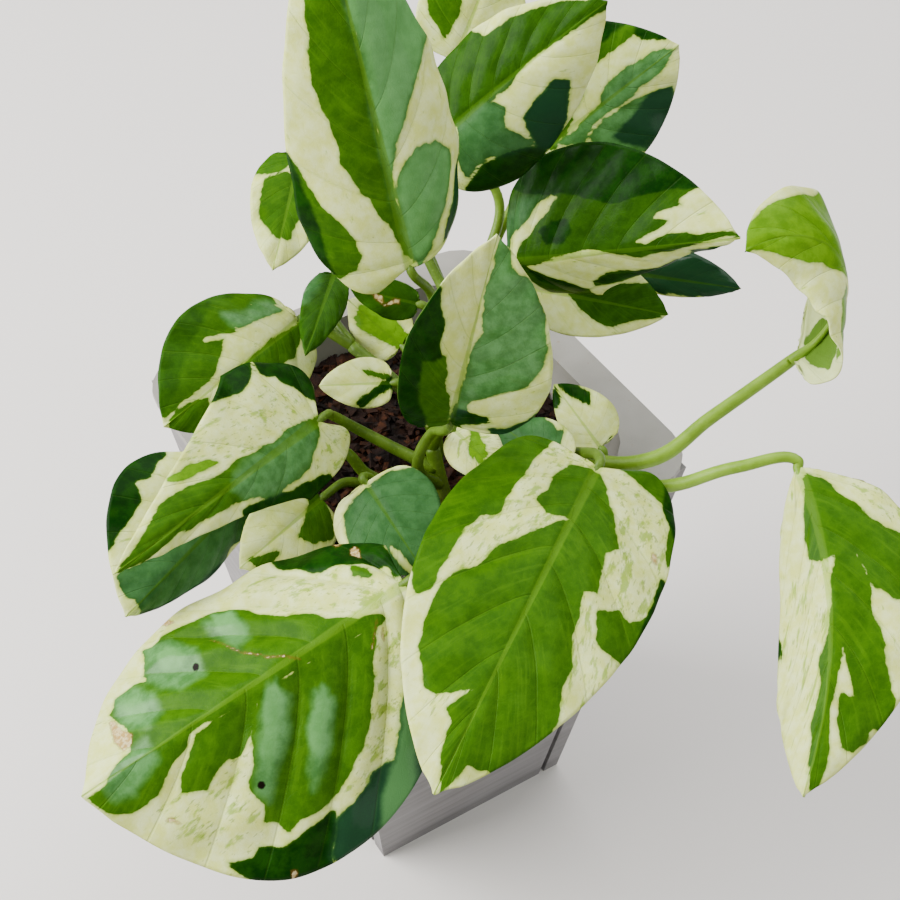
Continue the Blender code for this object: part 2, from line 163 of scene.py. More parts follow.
# Patches and the painted midrib, millimetres. Each tone of MARKS adds to the fields named here,
# or to the field of its own name. The offsets give each leaf a texture of its own.
FIELDS = ("green", "dark", "bloom", "lime", "shade", "pale", "speckle", "brown", "pit")
# Some tones paint light into the leaf's colour: a soft grey-green painted sheen, the same painted
# sheen over deep green, and pale painted highlights, alone or over the sheen.
TONE_FIELDS = {
    "dark": ("green", "dark"),
    "bloom": ("green", "bloom"),
    "silver": ("green", "bloom", "pale"),
    "teal": ("green", "dark", "bloom"),
    "lime": ("green", "lime"),
}
UNSPREAD = ("shade", "pale", "brown", "pit")
FIELD_LIMIT = 6.0
GREEN_SPREAD = 0.35
PIT_RADIUS = 0.75
RIB_PAINT = 1.15
RIB_PAINT_POWER = 1.4
RIB_PAINT_LENGTH = 60
RIB_PAINT_TIP = 0.13
VEIN_OFFSET = 3.7
FLAT_OFFSET = 5.3


@dataclass
class Blade:
    """One leaf blade. Lengths are millimetres, angles are degrees, pairs are (left, right)."""

    name: str
    base: tuple
    tip: tuple
    roll: float
    width: tuple
    lift: tuple = (0, 0)
    curl: tuple = (-15, -15)
    bend: float = 18
    sweep: float = 0
    twist: float = 0
    lobe: tuple = (0.10, 0.10)
    widest: tuple = (0.33, 0.33)
    full: tuple = (1.9, 1.9)
    pinch: tuple = (0, 0)
    seat: float = 1.0


LEAVES = [
    Blade("leaf_01", (2, -20, 187), (-14, 4, 256), 24, (20, 19), curl=(-40, -75), lift=(5, 8),
          lobe=(0.13, 0.05), widest=(0.2, 0.33), seat=0.55),
    Blade("leaf_02", (8, 13, 195), (42, 21, 223), -40, (14, 19), curl=(-20, -70), lift=(0, 5),
          lobe=(0.1, 0.25), widest=(0.4, 0.2)),
    Blade("leaf_03", (31, 30, 180), (60, 38, 202), -51, (22, 15)),
    Blade("leaf_04", (23, 6, 167), (70, -8, 185), -55, (24, 16), lift=(0, -48), bend=25,
          widest=(0.35, 0.3), full=(2.1, 0.75)),
    Blade("leaf_05", (10, -32, 155), (19, -30, 203), -67, (14, 18), lift=(35, 5),
          widest=(0.42, 0.33)),
    Blade("leaf_06", (-24, 4, 152), (-51, -27, 149), 39, (14, 18), full=(2.1, 2.4),
          pinch=(0.2, 0.5)),
    Blade("leaf_07", (-16, 12, 159), (-21, -14, 158), 17, (5, 5), lobe=(0.05, 0.05)),
    Blade("leaf_08", (-18, -26, 150), (-55, -73, 154), 37, (13, 20), lift=(-12, 0), bend=25,
          lobe=(0.22, 0.2), widest=(0.2, 0.2), full=(0.65, 0.85)),
    Blade("leaf_09", (-33, -36, 139), (-56, -67, 134), 36, (11, 23), lift=(-40, 0),
          pinch=(0, 0.3), seat=0.75),
    Blade("leaf_10", (-18, -33, 133), (-34, -53, 133), 33, (10, 9)),
    Blade("leaf_11", (-8, -35, 140), (5, -54, 132), -22, (12, 12)),
    Blade("leaf_12", (1, -65, 142), (-62, -101, 120), 35, (39, 30), lift=(0, -38), bend=20,
          lobe=(0.02, 0.12), widest=(0.5, 0.5), full=(2.4, 2.8)),
    Blade("leaf_13", (41, -37, 147), (7, -108, 131), 15, (23.5, 25.5), bend=25,
          lobe=(0.2, 0.14), widest=(0.3, 0.36), full=(1.9, 2.0)),
    Blade("leaf_14", (82, -41, 151), (79, -101, 120), -10, (21, 13), lift=(0, -30), sweep=-6,
          bend=20, lobe=(0.05, 0.0), widest=(0.33, 0.6)),
    Blade("leaf_15", (85, -11, 154), (71, -10, 183), -20, (19, 19), lift=(-35, 18), bend=190,
          curl=(-10, -15), twist=60, lobe=(0.1, 0.0), widest=(0.22, 0.36), full=(2.0, 2.2),
          pinch=(0, 0.8), seat=0.65),
    Blade("leaf_16", (-24, 33, 176), (-29, 6, 165), 16, (9, 9)),
    Blade("leaf_17", (11, 35, 200), (21, 43, 224), -43, (12, 12)),
    Blade("leaf_18", (28, 12, 155), (59, 5, 153), -50, (12, 9)),
    Blade("leaf_19", (53, 18, 154), (75, 8, 158), -52, (7, 4)),
    Blade("leaf_20", (-1, 0, 148), (-13, 9, 154), 45, (7, 7)),
    Blade("leaf_21", (-3, -10, 146), (-19, -11, 146), 45, (5.5, 6)),
    Blade("leaf_22", (11, -25, 146), (22, -36, 142), -31, (6, 6)),
    Blade("leaf_23", (34, -31, 140), (21, -18, 141), 36, (8, 8)),
    Blade("leaf_24", (43.6, -16.6, 132.5), (33.3, -5.9, 141.8), 31, (5, 8)),
    Blade("leaf_25", (3, -9, 168), (-11, -9, 172), 40, (4.5, 4)),
]

# Each vine: its stem's points from the soil up, the stem's radius, and the points of the stalk
# of each leaf, from the stem to just before the leaf.
VINES = {
    "vine_a": (
        [(6, -13, 116), (6, -12, 134), (-2, -7, 143), (-12, 0, 148)],
        1.7,
        {
            "leaf_06": [(-12, 0, 148), (-18, 2, 151)],
            "leaf_07": [(-12, 0, 148), (-17, 9, 151), (-16, 16, 156)],
            "leaf_20": [(0, -8, 141), (1, -3, 145)],
            "leaf_21": [(4, -11, 137), (3, -9, 142)],
        },
    ),
    "vine_b": (
        [(11, -25, 116), (8, -22, 126), (6, -19, 135)],
        2.0,
        {
            "leaf_08": [(7, -21, 130), (-3, -18, 134), (-11, -17, 139), (-15.5, -19.5, 145)],
            "leaf_09": [(9, -22, 122), (-8, -23, 130), (-14, -22, 137), (-24, -23, 138)],
            "leaf_10": [(9, -23, 120), (-4, -25, 125), (-12, -26, 131)],
            "leaf_05": [(8, -22, 126), (3, -26, 135), (6, -27, 147)],
            "leaf_11": [(9, -24, 121), (0, -30, 130)],
            "leaf_22": [(6, -19, 135), (8, -21, 142)],
        },
    ),
    "vine_c": (
        [(17, -8, 116), (15, -6, 130), (12, -3, 146), (10, 3, 158)],
        1.6,
        {
            "leaf_01": [(14, -5, 136), (8, -12, 160), (6, -16, 177)],
            "leaf_02": [(10, 3, 158), (19, 12, 167), (20, 19, 177), (8, 19, 186)],
            "leaf_03": [(11, 0, 152), (20, 14, 166)],
            "leaf_04": [(13, -4, 143), (18, 0, 157)],
            "leaf_17": [(10, 3, 158), (3, 14, 170), (3, 28, 189)],
            "leaf_18": [(14, -5, 138), (20, 2, 149)],
            "leaf_16": [(10, 3, 158), (0, 24, 166), (-18, 41, 173)],
            "leaf_19": [(12, -3, 146), (24, 12, 144), (42, 17, 148)],
            "leaf_25": [(12, -3, 146), (8, -6, 158)],
        },
    ),
    "vine_d": (
        [(29, -15, 116), (31, -16, 128), (33, -16, 135)],
        1.8,
        {
            "leaf_12": [(30, -15, 121), (22, -32, 128), (12, -52, 138)],
            "leaf_13": [(31, -16, 128), (38, -25, 139)],
            "leaf_14": [(30, -16, 124), (56, -35, 139), (70, -39, 149)],
            "leaf_15": [(31, -16, 130), (54, -24, 136), (67, -19, 144)],
            "leaf_23": [(31, -16, 128), (34, -24, 134)],
            "leaf_24": [(30, -16, 124), (38, -15, 127), (43.5, -17.5, 129)],
        },
    ),
}

# Outlines of the patches, from the photo: a tone, then x and y of each corner in turn,
# millimetres on the flat leaf, with x along the midrib and y across it, less than 0 to the left.
# The shaded leaves are darker all over.
SHADED = ("leaf_02", "leaf_04", "leaf_07", "leaf_09", "leaf_11", "leaf_18", "leaf_23", "leaf_25")
MARKS = {
    "leaf_01": [
        ("green", 61, -6, 53, -8, 46, -9, 41, -10, 36, -9, 30, -8, 25, -8, 19, -6, 11, -2, 3, 0,
         1, 1, 16, 0, 31, 0, 42, 1, 55, 0, 66, 0),
        ("silver", 55, 0, 42, 1, 31, 0, 16, 0, 1, 1, 8, 1, 18, 0, 22, 1, 27, 3, 32, 6, 36, 9,
         41, 13, 46, 18, 53, 24, 61, 14, 66, 0),
        ("silver", 20, 2, 22, 4, 24, 7, 24, 11, 21, 14, 18, 14, 13, 11, 8, 8, 4, 5, 0, 2, 3, 1,
         9, 1, 15, 1),
        ("green", 28, -19, 22, -17, 15, -14, 13, -12, 9, -10, 5, -9, 2, -11, 0, -15, 2, -20,
         9, -22, 16, -23),
        ("dark", 28, -19, 23, -18, 16, -17, 9, -16, 1, -16, 4, -21, 10, -23, 16, -24, 25, -21),
        ("teal", 51, 25, 47, 24, 40, 24, 34, 23, 35, 23, 40, 20, 45, 22),
        ("teal", 23, 20, 17, 19, 10, 16, 3, 11, 3, 8, 6, 9, 10, 12, 14, 15, 18, 19),
    ],
    "leaf_02": [
        ("green", 4, -3, -3, -9, -3, -15, 6, -18, 16, -17, 20, -11, 26, -10, 33, -8, 37, -6, 46, 1,
         37, 0, 31, 0, 26, -1, 22, 0, 17, 1, 13, 1, 9, 1, 5, 1),
        ("bloom", 5, 1, 12, 1, 14, 2, 15, 4, 12, 7, 15, 14, 11, 13, 5, 9, -1, 10, 1, 6),
        ("teal", 17, 8, 21, 7, 27, 6, 29, 8, 23, 15, 17, 19, 15, 16, 15, 14),
        ("dark", -4, 12, 3, 10, 8, 11, 12, 13, 16, 17, 8, 24, 0, 24, -6, 21, -7, 18),
    ],
    "leaf_03": [
        ("green", 18, -16, 22, -17, 29, -16, 33, -10, 31, -8, 27, -8, 23, -8, 19, -8, 16, -8,
         12, -10, 13, -13),
        ("dark", 20, -15, 24, -16, 29, -15, 31, -11, 27, -11, 22, -11, 19, -12),
        ("dark", 31, -8, 33, -9, 35, -6, 36, -3, 33, -5),
        ("green", 11, -10, 14, -8, 16, -7, 15, -5, 11, -3, 8, -1, 2, 1, 0, -1),
        ("bloom", 4, 1, 9, 1, 16, 0, 21, -3, 25, -3, 32, -2, 36, 0, 31, 2, 26, 2, 21, 2, 16, 2,
         12, 2, 8, 4),
        ("bloom", 10, 4, 15, 3, 22, 4, 26, 5, 31, 6, 28, 11, 22, 14, 19, 15, 12, 9),
        ("dark", 26, 5, 31, 6, 28, 11, 19, 15, 14, 7, 21, 6),
    ],
    "leaf_04": [
        ("green", -6, -14, 5, -26, 22, -32, 44, -24, 56, 0, 46, 12, 22, 20, 5, 16, 0, -1),
        ("dark", 2, -16, 8, -14, 12, -14, 17, -13, 21, -11.5, 24, -10.5, 28, -10.5, 31, -11,
         36, -11.5, 40, -12, 47, -11, 44, -20, 30, -32, 10, -32, -2, -22),
        ("dark", 10, -3, 9, -6, 12, -8, 16, -8, 17, -5, 14, -3),
        ("bloom", 0, -5, 1, -9, 3, -13, 9, -13.5, 6, -10, 3, -7, 1, -3),
        ("cream", 0, -2, 2, -6, 6, -9, 9, -12, 12, -14, 14, -13, 11, -10, 9, -8, 7, -6, 4, -4,
         2, -1),
        ("cream", 46, -11.5, 42, -10.5, 40, -9, 41, -8, 36, -7, 35, -6, 38, -5, 36, -3.5, 31, -1.5,
         33, -1.2, 38, -2.5, 43, -2, 50, -1.5, 58, 0, 54, -5, 50, -9),
        ("cream", 4, 1.5, 8, 1, 14, -0.5, 20, -1, 23, -0.5, 26, 0.8, 30, 1.5, 35, 1.5, 38, 2,
         42, 1, 46, 0, 50, -0.5, 58, 0, 50, 2, 46, 1.8, 43, 2.5, 40, 5.5, 35, 6.5, 29, 7.5, 26, 6.5,
         22, 6.5, 17, 9.5, 16, 12, 13, 12.5, 10, 9, 6, 5),
        ("cream", 14, 13, 18, 11.6, 22, 11.3, 28, 10, 34, 8.5, 38, 7, 41, 7, 35, 12, 26, 16,
         14, 16),
        ("dark", 17, 10, 22, 7.5, 27, 7.5, 33, 7.2, 38, 5.8, 38, 6.6, 33, 8.2, 27, 9.5, 20, 11),
        ("dark", 3, 3, 5, 3, 8, 6, 11, 9, 14, 12.5, 11, 13, 7, 10, 4, 6),
        ("dark", 42, 3.2, 46, 2, 51, 1.7, 47, 3, 43, 4),
    ],
    "leaf_05": [
        ("dark", 38, -9, 36, -16, 29, -20, 12, -20, 0, -16, -6, -10, -4, -4, 2, -6, 10, -9,
         18, -10, 20, -10, 20, -7, 21, -6, 25, -7, 29, -7, 32, -8),
        ("green", 9, -9, 18, -10, 20, -10, 20, -7, 21, -5, 14, -4, 8, -2, 1, -1, 1, 1, 0, 2,
         -1, -4),
        ("bloom", 49, 1, 46, 3, 43, 4, 42, 6, 42, 7, 39, 10, 34, 13, 30, 14, 26, 15, 22, 15,
         17, 13, 14, 10, 11, 6, 9, 3, 5, 2, 2, 0, 10, 1, 17, 1, 24, 1, 27, 2, 34, 1, 42, 1),
        ("dark", 0, 0, 5, 1, 5, 5, 5, 7, 4, 8, 3, 5, 1, 2),
        ("teal", 2, 8, 2, 12, 6, 15, 10, 18, 4, 18, -4, 15, -4, 12),
    ],
    "leaf_06": [
        ("green", 2, 6, 1, 12, 4, 18, 12, 24, 21, 24, 30, 20, 38, 14, 42, 7, 40, 1, 36, 2, 31, 2,
         27, 2, 21, 5, 18, 7, 23, 9, 21, 10, 15, 7, 14, 11, 11, 9, 8, 8, 7, 10),
        ("shade", 4, 18, 12, 24, 21, 24, 30, 20, 38, 14, 42, 7, 40, 2, 35, 4, 30, 7, 26, 10,
         21, 12, 15, 15, 9, 13),
        ("bloom", 14, 11, 10, 8, 6, 9, 3, 7, 2, 4, 6, 5, 13, 7, 14, 9),
        ("green", 19, 0, 13, 0, 7, 0, 0, -1, 3, -3, 7, -6, 13, -4, 18, -2),
        ("green", 40, 0, 37, 1, 32, 0, 30, -1, 32, -4, 38, -5, 42, -4),
    ],
    "leaf_07": [
        ("green", -6, -9, 33, -9, 33, 9, -6, 9),
        ("bloom", 0, 3, 0, 9, 14, 9, 13, 4, 6, 2.5),
    ],
    "leaf_08": [
        ("dark", 4, 15, 1, 13, 1, 11, -0.5, 9, -1.5, 6, -3, 3.5, -3, 1, -8, 2, -12, 6, -12, 14,
         -6, 19, 2, 19),
        ("dark", 21, 17, 19.5, 16.5, 15, 15.5, 11, 15, 8, 15.5, 5.5, 17, 4, 19, 8, 22, 16, 22,
         22, 19),
        ("lime", 39, 8.5, 36, 8, 33, 8.3, 29.5, 7, 28.5, 5.5, 31, 6, 35, 6.5, 38, 7.2),
        ("green", 0, 0.5, 5, 1.2, 9, 1.8, 15, 2, 21, 2.3, 26, 3, 31, 3, 37, 4.8, 40.5, 5.5,
         43.5, 5, 48.5, 3.5, 51.5, 2, 58, 0.5, 60, -1, 51.5, -1, 45, -1, 39.5, -2, 35.5, -2.5,
         31.5, -3, 28, -4, 25, -5, 21, -7.5, 17.5, -7, 13, -7, 8, -6.5, 5.5, -4.5, 1.5, -1.5),
        ("bloom", 3, 0, 9, 1.5, 15, 1.5, 22, 1.5, 27, 1, 29, -1, 28, -3.5, 25, -5, 21, -7, 14, -7,
         8, -6, 5, -4, 3, -1.5),
        ("dark", 4, -11, 8, -10.3, 12.5, -9.3, 18.5, -8.2, 24.5, -6.8, 30, -5.5, 30, -9, 24, -14,
         14, -16, 3, -15),
        ("speckle", -1, -2, 5, -6, 9, -8, 4, -12, -4, -12, -9, -8, -8, -1, -4, 3),
        ("speckle", 2, 10, 6, 12, 15, 15, 28, 13, 38, 9, 30, 6, 20, 3, 8, 3, 0, 5),
    ],
    "leaf_09": [
        ("dark", 2, 24, 6, 28, 16, 29, 26, 26, 36, 18, 38, 11, 32, 12, 27, 13, 22, 14, 19, 15,
         17, 18, 14, 17, 9, 18, 7, 18),
        ("bloom", 34, 7, 31, 6, 23, 4, 17, 3, 10, 3, -1, -7, 0, -12, 10, -8, 13, -12, 18, -12,
         28, -9, 36, -3, 35, 1, 36, 3),
        ("dark", 36, -2, 30, -6, 24, -9, 14, -10, 14, -14, 24, -12, 31, -9),
    ],
    "leaf_10": [
        ("green", -1, 4, 0, 0, 2, -5, 4, -8, 9, -6, 11, -3, 6, -1, 2, 2),
        ("green", 23, 0, 18, -2, 17, -3, 22, -3),
    ],
    "leaf_11": [
        ("bloom", 1.5, 0, 1, -6, 3, -10, 7, -13, 18, -13, 26, -9, 30, 0, 25, 6, 20, 8.5, 14, 9.8,
         8, 9.6, 3.5, 7.5, 1.5, 4),
        ("cream", 15, 3, 18, 1.6, 22, 1.2, 24, 2.2, 21, 3, 18, 3.4),
    ],
    "leaf_12": [
        ("green", 7, -3, 15, 1, 17, 2, 19, 6, 23, 9, 28, 14, 29, 17, 35, 23, 40, 23, 43, 24,
         48, 26, 53, 24, 55, 19, 53, 15, 58, 18, 62, 17, 65, 15, 62, 8, 62, 5, 64, 2, 55, -1,
         47, -1, 39, -3, 29, -2, 19, -3, 7, -4),
        ("green", 37, -3, 41, -7, 46, -10, 48, -9, 52, -10, 55, -12, 59, -10, 57, -7, 53, -4,
         51, -2, 46, -2, 41, -2),
        ("green", 64, 2, 58, 0, 52, -1, 54, -3, 59, -5, 64, -8, 69, -8, 73, -6, 75, -1, 72, -1,
         67, 0),
        ("green", 37, -3, 34, -2, 28, -3, 19, -3, 10, -4, 14, -9, 17, -13, 21, -18, 25, -22,
         30, -25, 34, -27, 39, -28, 43, -27, 46, -28, 47, -25, 49, -24, 47, -21, 48, -17, 45, -14,
         42, -9),
        ("bloom", 38, 22, 34, 17, 32, 11, 35, 10, 37, 15, 38, 18),
        ("bloom", 53, 26, 47, 23, 43, 16, 44, 9, 49, 9, 52, 12, 55, 17),
        ("bloom", 63, 18, 58, 17, 55, 12, 55, 7, 58, 5, 62, 8, 64, 13),
        ("bloom", 34, -2, 32, -6, 36, -12, 42, -17, 46, -21, 47, -18, 41, -10),
        ("bloom", 27, -8, 25, -11, 30, -18, 35, -22, 38, -24, 35, -19, 30, -13),
        ("bloom", 71, -1, 66, 2, 60, 3, 60, -2, 67, -5, 71, -4),
        ("dark", 18, 27, 13, 32, 7, 34, 4, 32, 0, 27, -3, 19, -2, 9, 0, 0, 0, 6, 3, 10, 6, 12,
         9, 15, 11, 15, 14, 19, 18, 25),
        ("green", 6, 11, 4, 8, 4, 6, 5, 6, 7, 9),
        ("teal", 7, -11, 6, -17, 10, -25, 16, -32, 21, -36, 27, -38, 34, -39, 40, -40, 42, -38,
         37, -32, 32, -31, 26, -28, 21, -28, 18, -25, 14, -20, 9, -15),
        ("dark", 60, -27, 55, -29, 53, -28, 49, -31, 43, -30, 37, -30, 38, -33, 42, -37, 44, -41,
         50, -40, 53, -38, 57, -33),
        ("speckle", 20, 24, 0, 0, 8, -2, 15, 2, 27, 16, 31, 24),
        ("speckle", 10, -4, 6, -9, 14, -19, 21, -28, 33, -30, 21, -17),
        ("speckle", 64, -9, 58, -10, 49, -10, 41, -7, 49, -19, 50, -25, 56, -28, 61, -22, 65, -15),
        ("brown", 66, 14, 65, 13, 64, 9, 62, 6, 63, 4, 65, 4, 66, 7, 66, 10),
        ("brown", 65, -13, 64, -13, 63, -15, 64, -14),
        ("brown", 50, -35, 49, -36, 51, -37),
        ("brown", 47, 30, 45, 30, 44, 27, 46, 28),
        ("brown", 39, 16, 37, 12, 35, 8, 33, 6, 31, 3, 28, 1, 26, -1, 28, 1, 31, 3, 33, 6, 35, 8,
         37, 12),
        ("pit", 44.5, 12.3),
        ("pit", 45.6, -17.4),
        # Painted highlights: pale streaks along the ridges and the margin where the leaf reflects
        # the lamps.
        ("pale", 35, -2, 32, -2, 33, -6, 38, -12, 42, -16, 44, -17, 41, -10),
        ("pale", 25, -7, 24, -9, 27, -13, 32, -18, 35, -19, 32, -13),
        ("pale", 36, 23, 32, 20, 31, 13, 33, 10, 36, 14, 37, 19),
        ("pale", 62, 17, 58, 15, 57, 11, 59, 8, 62, 10),
        ("pale", 51, 22, 47, 21, 45, 16, 48, 14, 51, 17),
        ("pale", 31, -38, 26, -32, 19, -26, 13, -19, 9, -10, 6, -9, 9, -19, 15, -28, 21, -36,
         28, -41, 32, -43),
        ("brown", 9, -3, 11, -5, 13, -7, 11, -5),
        ("brown", 9, -5, 10, -7, 10, -6),
        ("brown", 4, 25, 4, 24, 4, 20, 5, 20, 5, 23),
        ("brown", 3, 17, 2, 17, 2, 15, 3, 13, 4, 15),
    ],
    "leaf_13": [
        ("green", 2, -1, 9, -6, 14, -9, 17, -11, 20, -9, 24, -10, 29, -11, 30, -8, 36, -10,
         40, -10, 46, -13, 51, -13, 54, -14, 57, -15, 63, -14, 67, -12, 72, -8, 72, -7, 73, -3,
         80, -1, 76, 1, 70, 3, 67, 3, 65, 5, 59, 2, 63, 8, 63, 11, 58, 14, 53, 16, 47, 17, 42, 17,
         39, 16, 35, 12, 29, 10, 24, 6, 18, 2, 16, 0, 17, 5, 15, 8, 12, 7, 7, 7, 3, 5, 2, 1),
        ("green", -8, 12, 1, 20, 10, 26, 20, 29, 28, 29, 36, 27, 42, 24, 46, 21, 44, 19, 39, 19,
         34, 19, 29, 19, 24, 17, 21, 14, 15, 14, 9, 13, 2, 12, -1, 11),
        ("green", -5, 10, -7, 11, -6, 9, -4, -4, -1, -1, -2, 3, -4, 7, -4, 8),
        ("green", -2, -4, -6, -6, -10, -11, -10, -17, -5, -21, 2, -24, 8, -24, 14, -22, 8, -20,
         3, -18, 0, -16, -1, -11, -2, -7),
        ("dark", -9, -15, -5, -21, 2, -24, 8, -24, 7, -21, 4, -18, 0, -16),
        ("green", 33, -13, 30, -17, 31, -20, 26, -24, 30, -25, 39, -22, 39, -17, 38, -15),
        ("dark", 17, -22, 20, -26, 26, -26, 33, -25, 40, -23, 33, -23, 28, -23, 23, -23),
        ("speckle", 60, -16, 50, -12, 31, -8, 24, -11, -1, -5, 1, -17, 17, -23, 27, -22, 40, -22,
         50, -19),
        ("speckle", 44, 18, 30, 19, 19, 13, 6, 13, -4, 9, 0, -1, 6, 8, 16, 8, 17, 1, 34, 12),
        ("speckle", 62, 12, 62, 5, 66, 4, 74, 3),
        ("brown", 14, -18, 13, -18, 13, -19, 16, -20),
    ],
    "leaf_14": [
        ("green", 2, -1, 3, -4, 6, -6, 9, -9, 12, -11, 15, -17, 22, -23, 32, -22, 29, -15, 28, -12,
         26, -9, 18, -6, 27, -8, 30, -8, 32, -8, 37, -10, 44, -11, 49, -13, 52, -13, 55, -12,
         54, -10, 55, -9, 57, -9, 59, -7, 58, -5, 53, -3, 48, -3, 49, -6, 43, -4, 36, -2, 40, -2,
         48, -1, 54, -1, 61, -2, 68, -2, 63, 0, 54, 2, 46, 1, 41, 2, 36, 0, 33, 0, 26, -1, 18, -3,
         19, -2, 21, 1, 20, 3, 15, 3, 8, 1),
        ("dark", 33, 15, 36, 12, 40, 12, 39, 13),
        ("speckle", 21, 6, 21, -3, 35, 0, 48, 2, 54, 4, 45, 9, 34, 13),
        ("speckle", 2, -8, 2, -20, 14, -21, 13, -16, 8, -10),
    ],
    "leaf_15": [
        ("lime", 62, -1, 52, -0.5, 47, -3, 44, -4, 40, -4.6, 37, -4.7, 32, -4, 27.5, -2.5, 24, -1,
         22, 4, 24, 12, 28, 18, 33, 16.5, 35, 13.5, 39, 11, 42, 9, 45, 7.5, 48, 5, 52, 4, 62, 4),
        ("lime", 24, -4, 23, -9, 20, -12.5, 17, -14.5, 12, -17, 9, -15, 13, -9, 18, -4),
        ("green", 2, -3, 4, 2, 7, 4, 10, 4, 12, 0, 11, -6, 9, -12, 5, -12.5, 3, -8),
    ],
    "leaf_16": [
        ("green", -1, 10, -1, 2, 2, 2, 6, 4, 7, 9),
        ("green", 9, 6, 6, 2, 7, -3, 15, -3, 21, -2, 22, 1, 18, 5, 14, 6),
    ],
    "leaf_17": [
        ("green", 15, -13, 18, -7, 13, -4, 10, -3, 4, -4, 7, -8),
    ],
    "leaf_18": [
        ("green", 8, -2, 14, -3, 26, -6, 33, -5, 32, 0, 24, 3, 19, 5, 15, 4, 12, 2, 10, 0),
    ],
    "leaf_19": [
        ("teal", -6, -10, 30, -10, 30, 8, -6, 8),
        ("cream", 2, 3.4, 10, 3.6, 20, 3, 20, 5, 2, 5),
    ],
    "leaf_20": [
        ("lime", 12, -2, 13, 1, 11, 3, 7, 4, 3, 3, 0, 3, 0, -1, 2, -1, 6, -2, 9, -3),
    ],
    "leaf_21": [
        ("green", 6, 3, 2, 2, 0, 1, 1, 1, 5, 2),
        ("dark", 8, -4, 5, -2, 2, 0, 0, 1, 0, -1, 4, -3, 7, -5),
    ],
    "leaf_22": [
        ("lime", 5, 0, 3, -3, 5, -3, 9, -1, 9, 1, 7, 1),
        ("lime", 10, 1, 11, -1, 13, 0, 14, 2, 12, 2),
        ("speckle", 0, -1, 3, -6, 14, -4, 15, 3, 5, 3),
    ],
    "leaf_23": [
        ("bloom", 21, 3, 10, 14, -1, -4, 14, -13),
        ("cream", 14, 8, 13, 10, 7, 9, 5, 8, 6, 6, 9, 7),
    ],
    "leaf_24": [
        ("dark", 18, 1, 16, 3, 11, 5, 9, 4, 12, 2, 15, 1),
        ("dark", 15, -4, 17, 0, 14, -1, 13, -3),
        ("dark", 0, 3, -2, 5, -1, 3),
    ],
    "leaf_25": [
        ("green", 16, 3, -1, 4, -2, -3, 13, -6),
        ("green", 2, -6, 12, -6, 10, 0, 3, 1),
        ("brown", 11, 0, 8, 0, 7, -2, 5, 0, 4, 0, 4, -1, 5, -1, 7, -2, 9, -1, 10, 0),
    ],
}


def to_world(points):
    """Points of the plant's own frame, millimetres, in the planter's frame, metres."""
    turn = np.array(Matrix.Rotation(PLANT_TURN, 3, "Z"))
    return (np.asarray(points, float) + np.array(PLANT_SHIFT)) @ turn.T * MM


def new_object(name, data):
    """Puts a mesh, a curve, a lamp or a camera into the scene."""
    made = bpy.data.objects.new(name, data)
    bpy.context.scene.collection.objects.link(made)
    return made


def keep(mesh, key, values):
    """Keeps a value, or a vector where each value is a row, on every point of a mesh."""
    kind, entry = ("FLOAT_VECTOR", "vector") if np.ndim(values) > 1 else ("FLOAT", "value")
    mesh.attributes.new(key, kind, "POINT").data.foreach_set(entry, np.ravel(values))


def weld(meshes, target, distance):
    """Joins meshes into one smooth mesh, without double points and with its faces outwards."""
    bm = bmesh.new()
    for mesh in meshes:
        bm.from_mesh(mesh)
    bmesh.ops.remove_doubles(bm, verts=bm.verts, dist=distance)
    bmesh.ops.recalc_face_normals(bm, faces=bm.faces)
    bm.to_mesh(target)
    bm.free()
    target.shade_smooth()


# Leaf form


def past(value, start):
    """How far a value has gone from a start towards 1, from 0 to 1."""
    return np.clip((value - start) / (1 - start), 0, 1)


def margin(blade, along, pick):
    """The edge of one half: its place as a part of the length, and its distance from the midrib."""
    widest = blade.widest[pick]
    narrowing = blade.pinch[pick] * (1 - np.minimum(along / PINCH_REACH, 1)) ** 2
    half_width = blade.width[pick] * (1 - narrowing)
    angle = LOBE_START + (pi / 2 - LOBE_START) * np.minimum(along / LOBE_SHARE, 1)
    corner_cut = BOLD_LOBES.get(blade.name, CORNER_CUT)
    rounding = 1 - corner_cut * np.clip(1 - along / CORNER_REACH, 0, 1) ** 2
    lobe_x = widest - (widest + blade.lobe[pick]) * np.cos(angle) * rounding
    reach = np.sin(pi / 2 * past(along, LOBE_SHARE))
    body_y = half_width * np.clip(1 - reach ** blade.full[pick], 0, 1) ** TIP_POWER
    body_y = body_y * (1 - DRIP_TIP * np.sin(pi * past(along, DRIP_START)))
    in_lobe = along < LOBE_SHARE
    edge_x = np.where(in_lobe, lobe_x, widest + (1 - widest) * reach)
    return edge_x, np.where(in_lobe, half_width * np.sin(angle), body_y) * rounding


def rib_start(along):
    """Where the side vein of a station leaves the midrib, 0 at the base to 1 at the tip."""
    body = RIB_LOBE_END + (1 - RIB_LOBE_END) * past(along, LOBE_SHARE) ** RIB_POWER
    return np.where(along < LOBE_SHARE, RIB_LOBE_END * (along / LOBE_SHARE) ** 2, body)


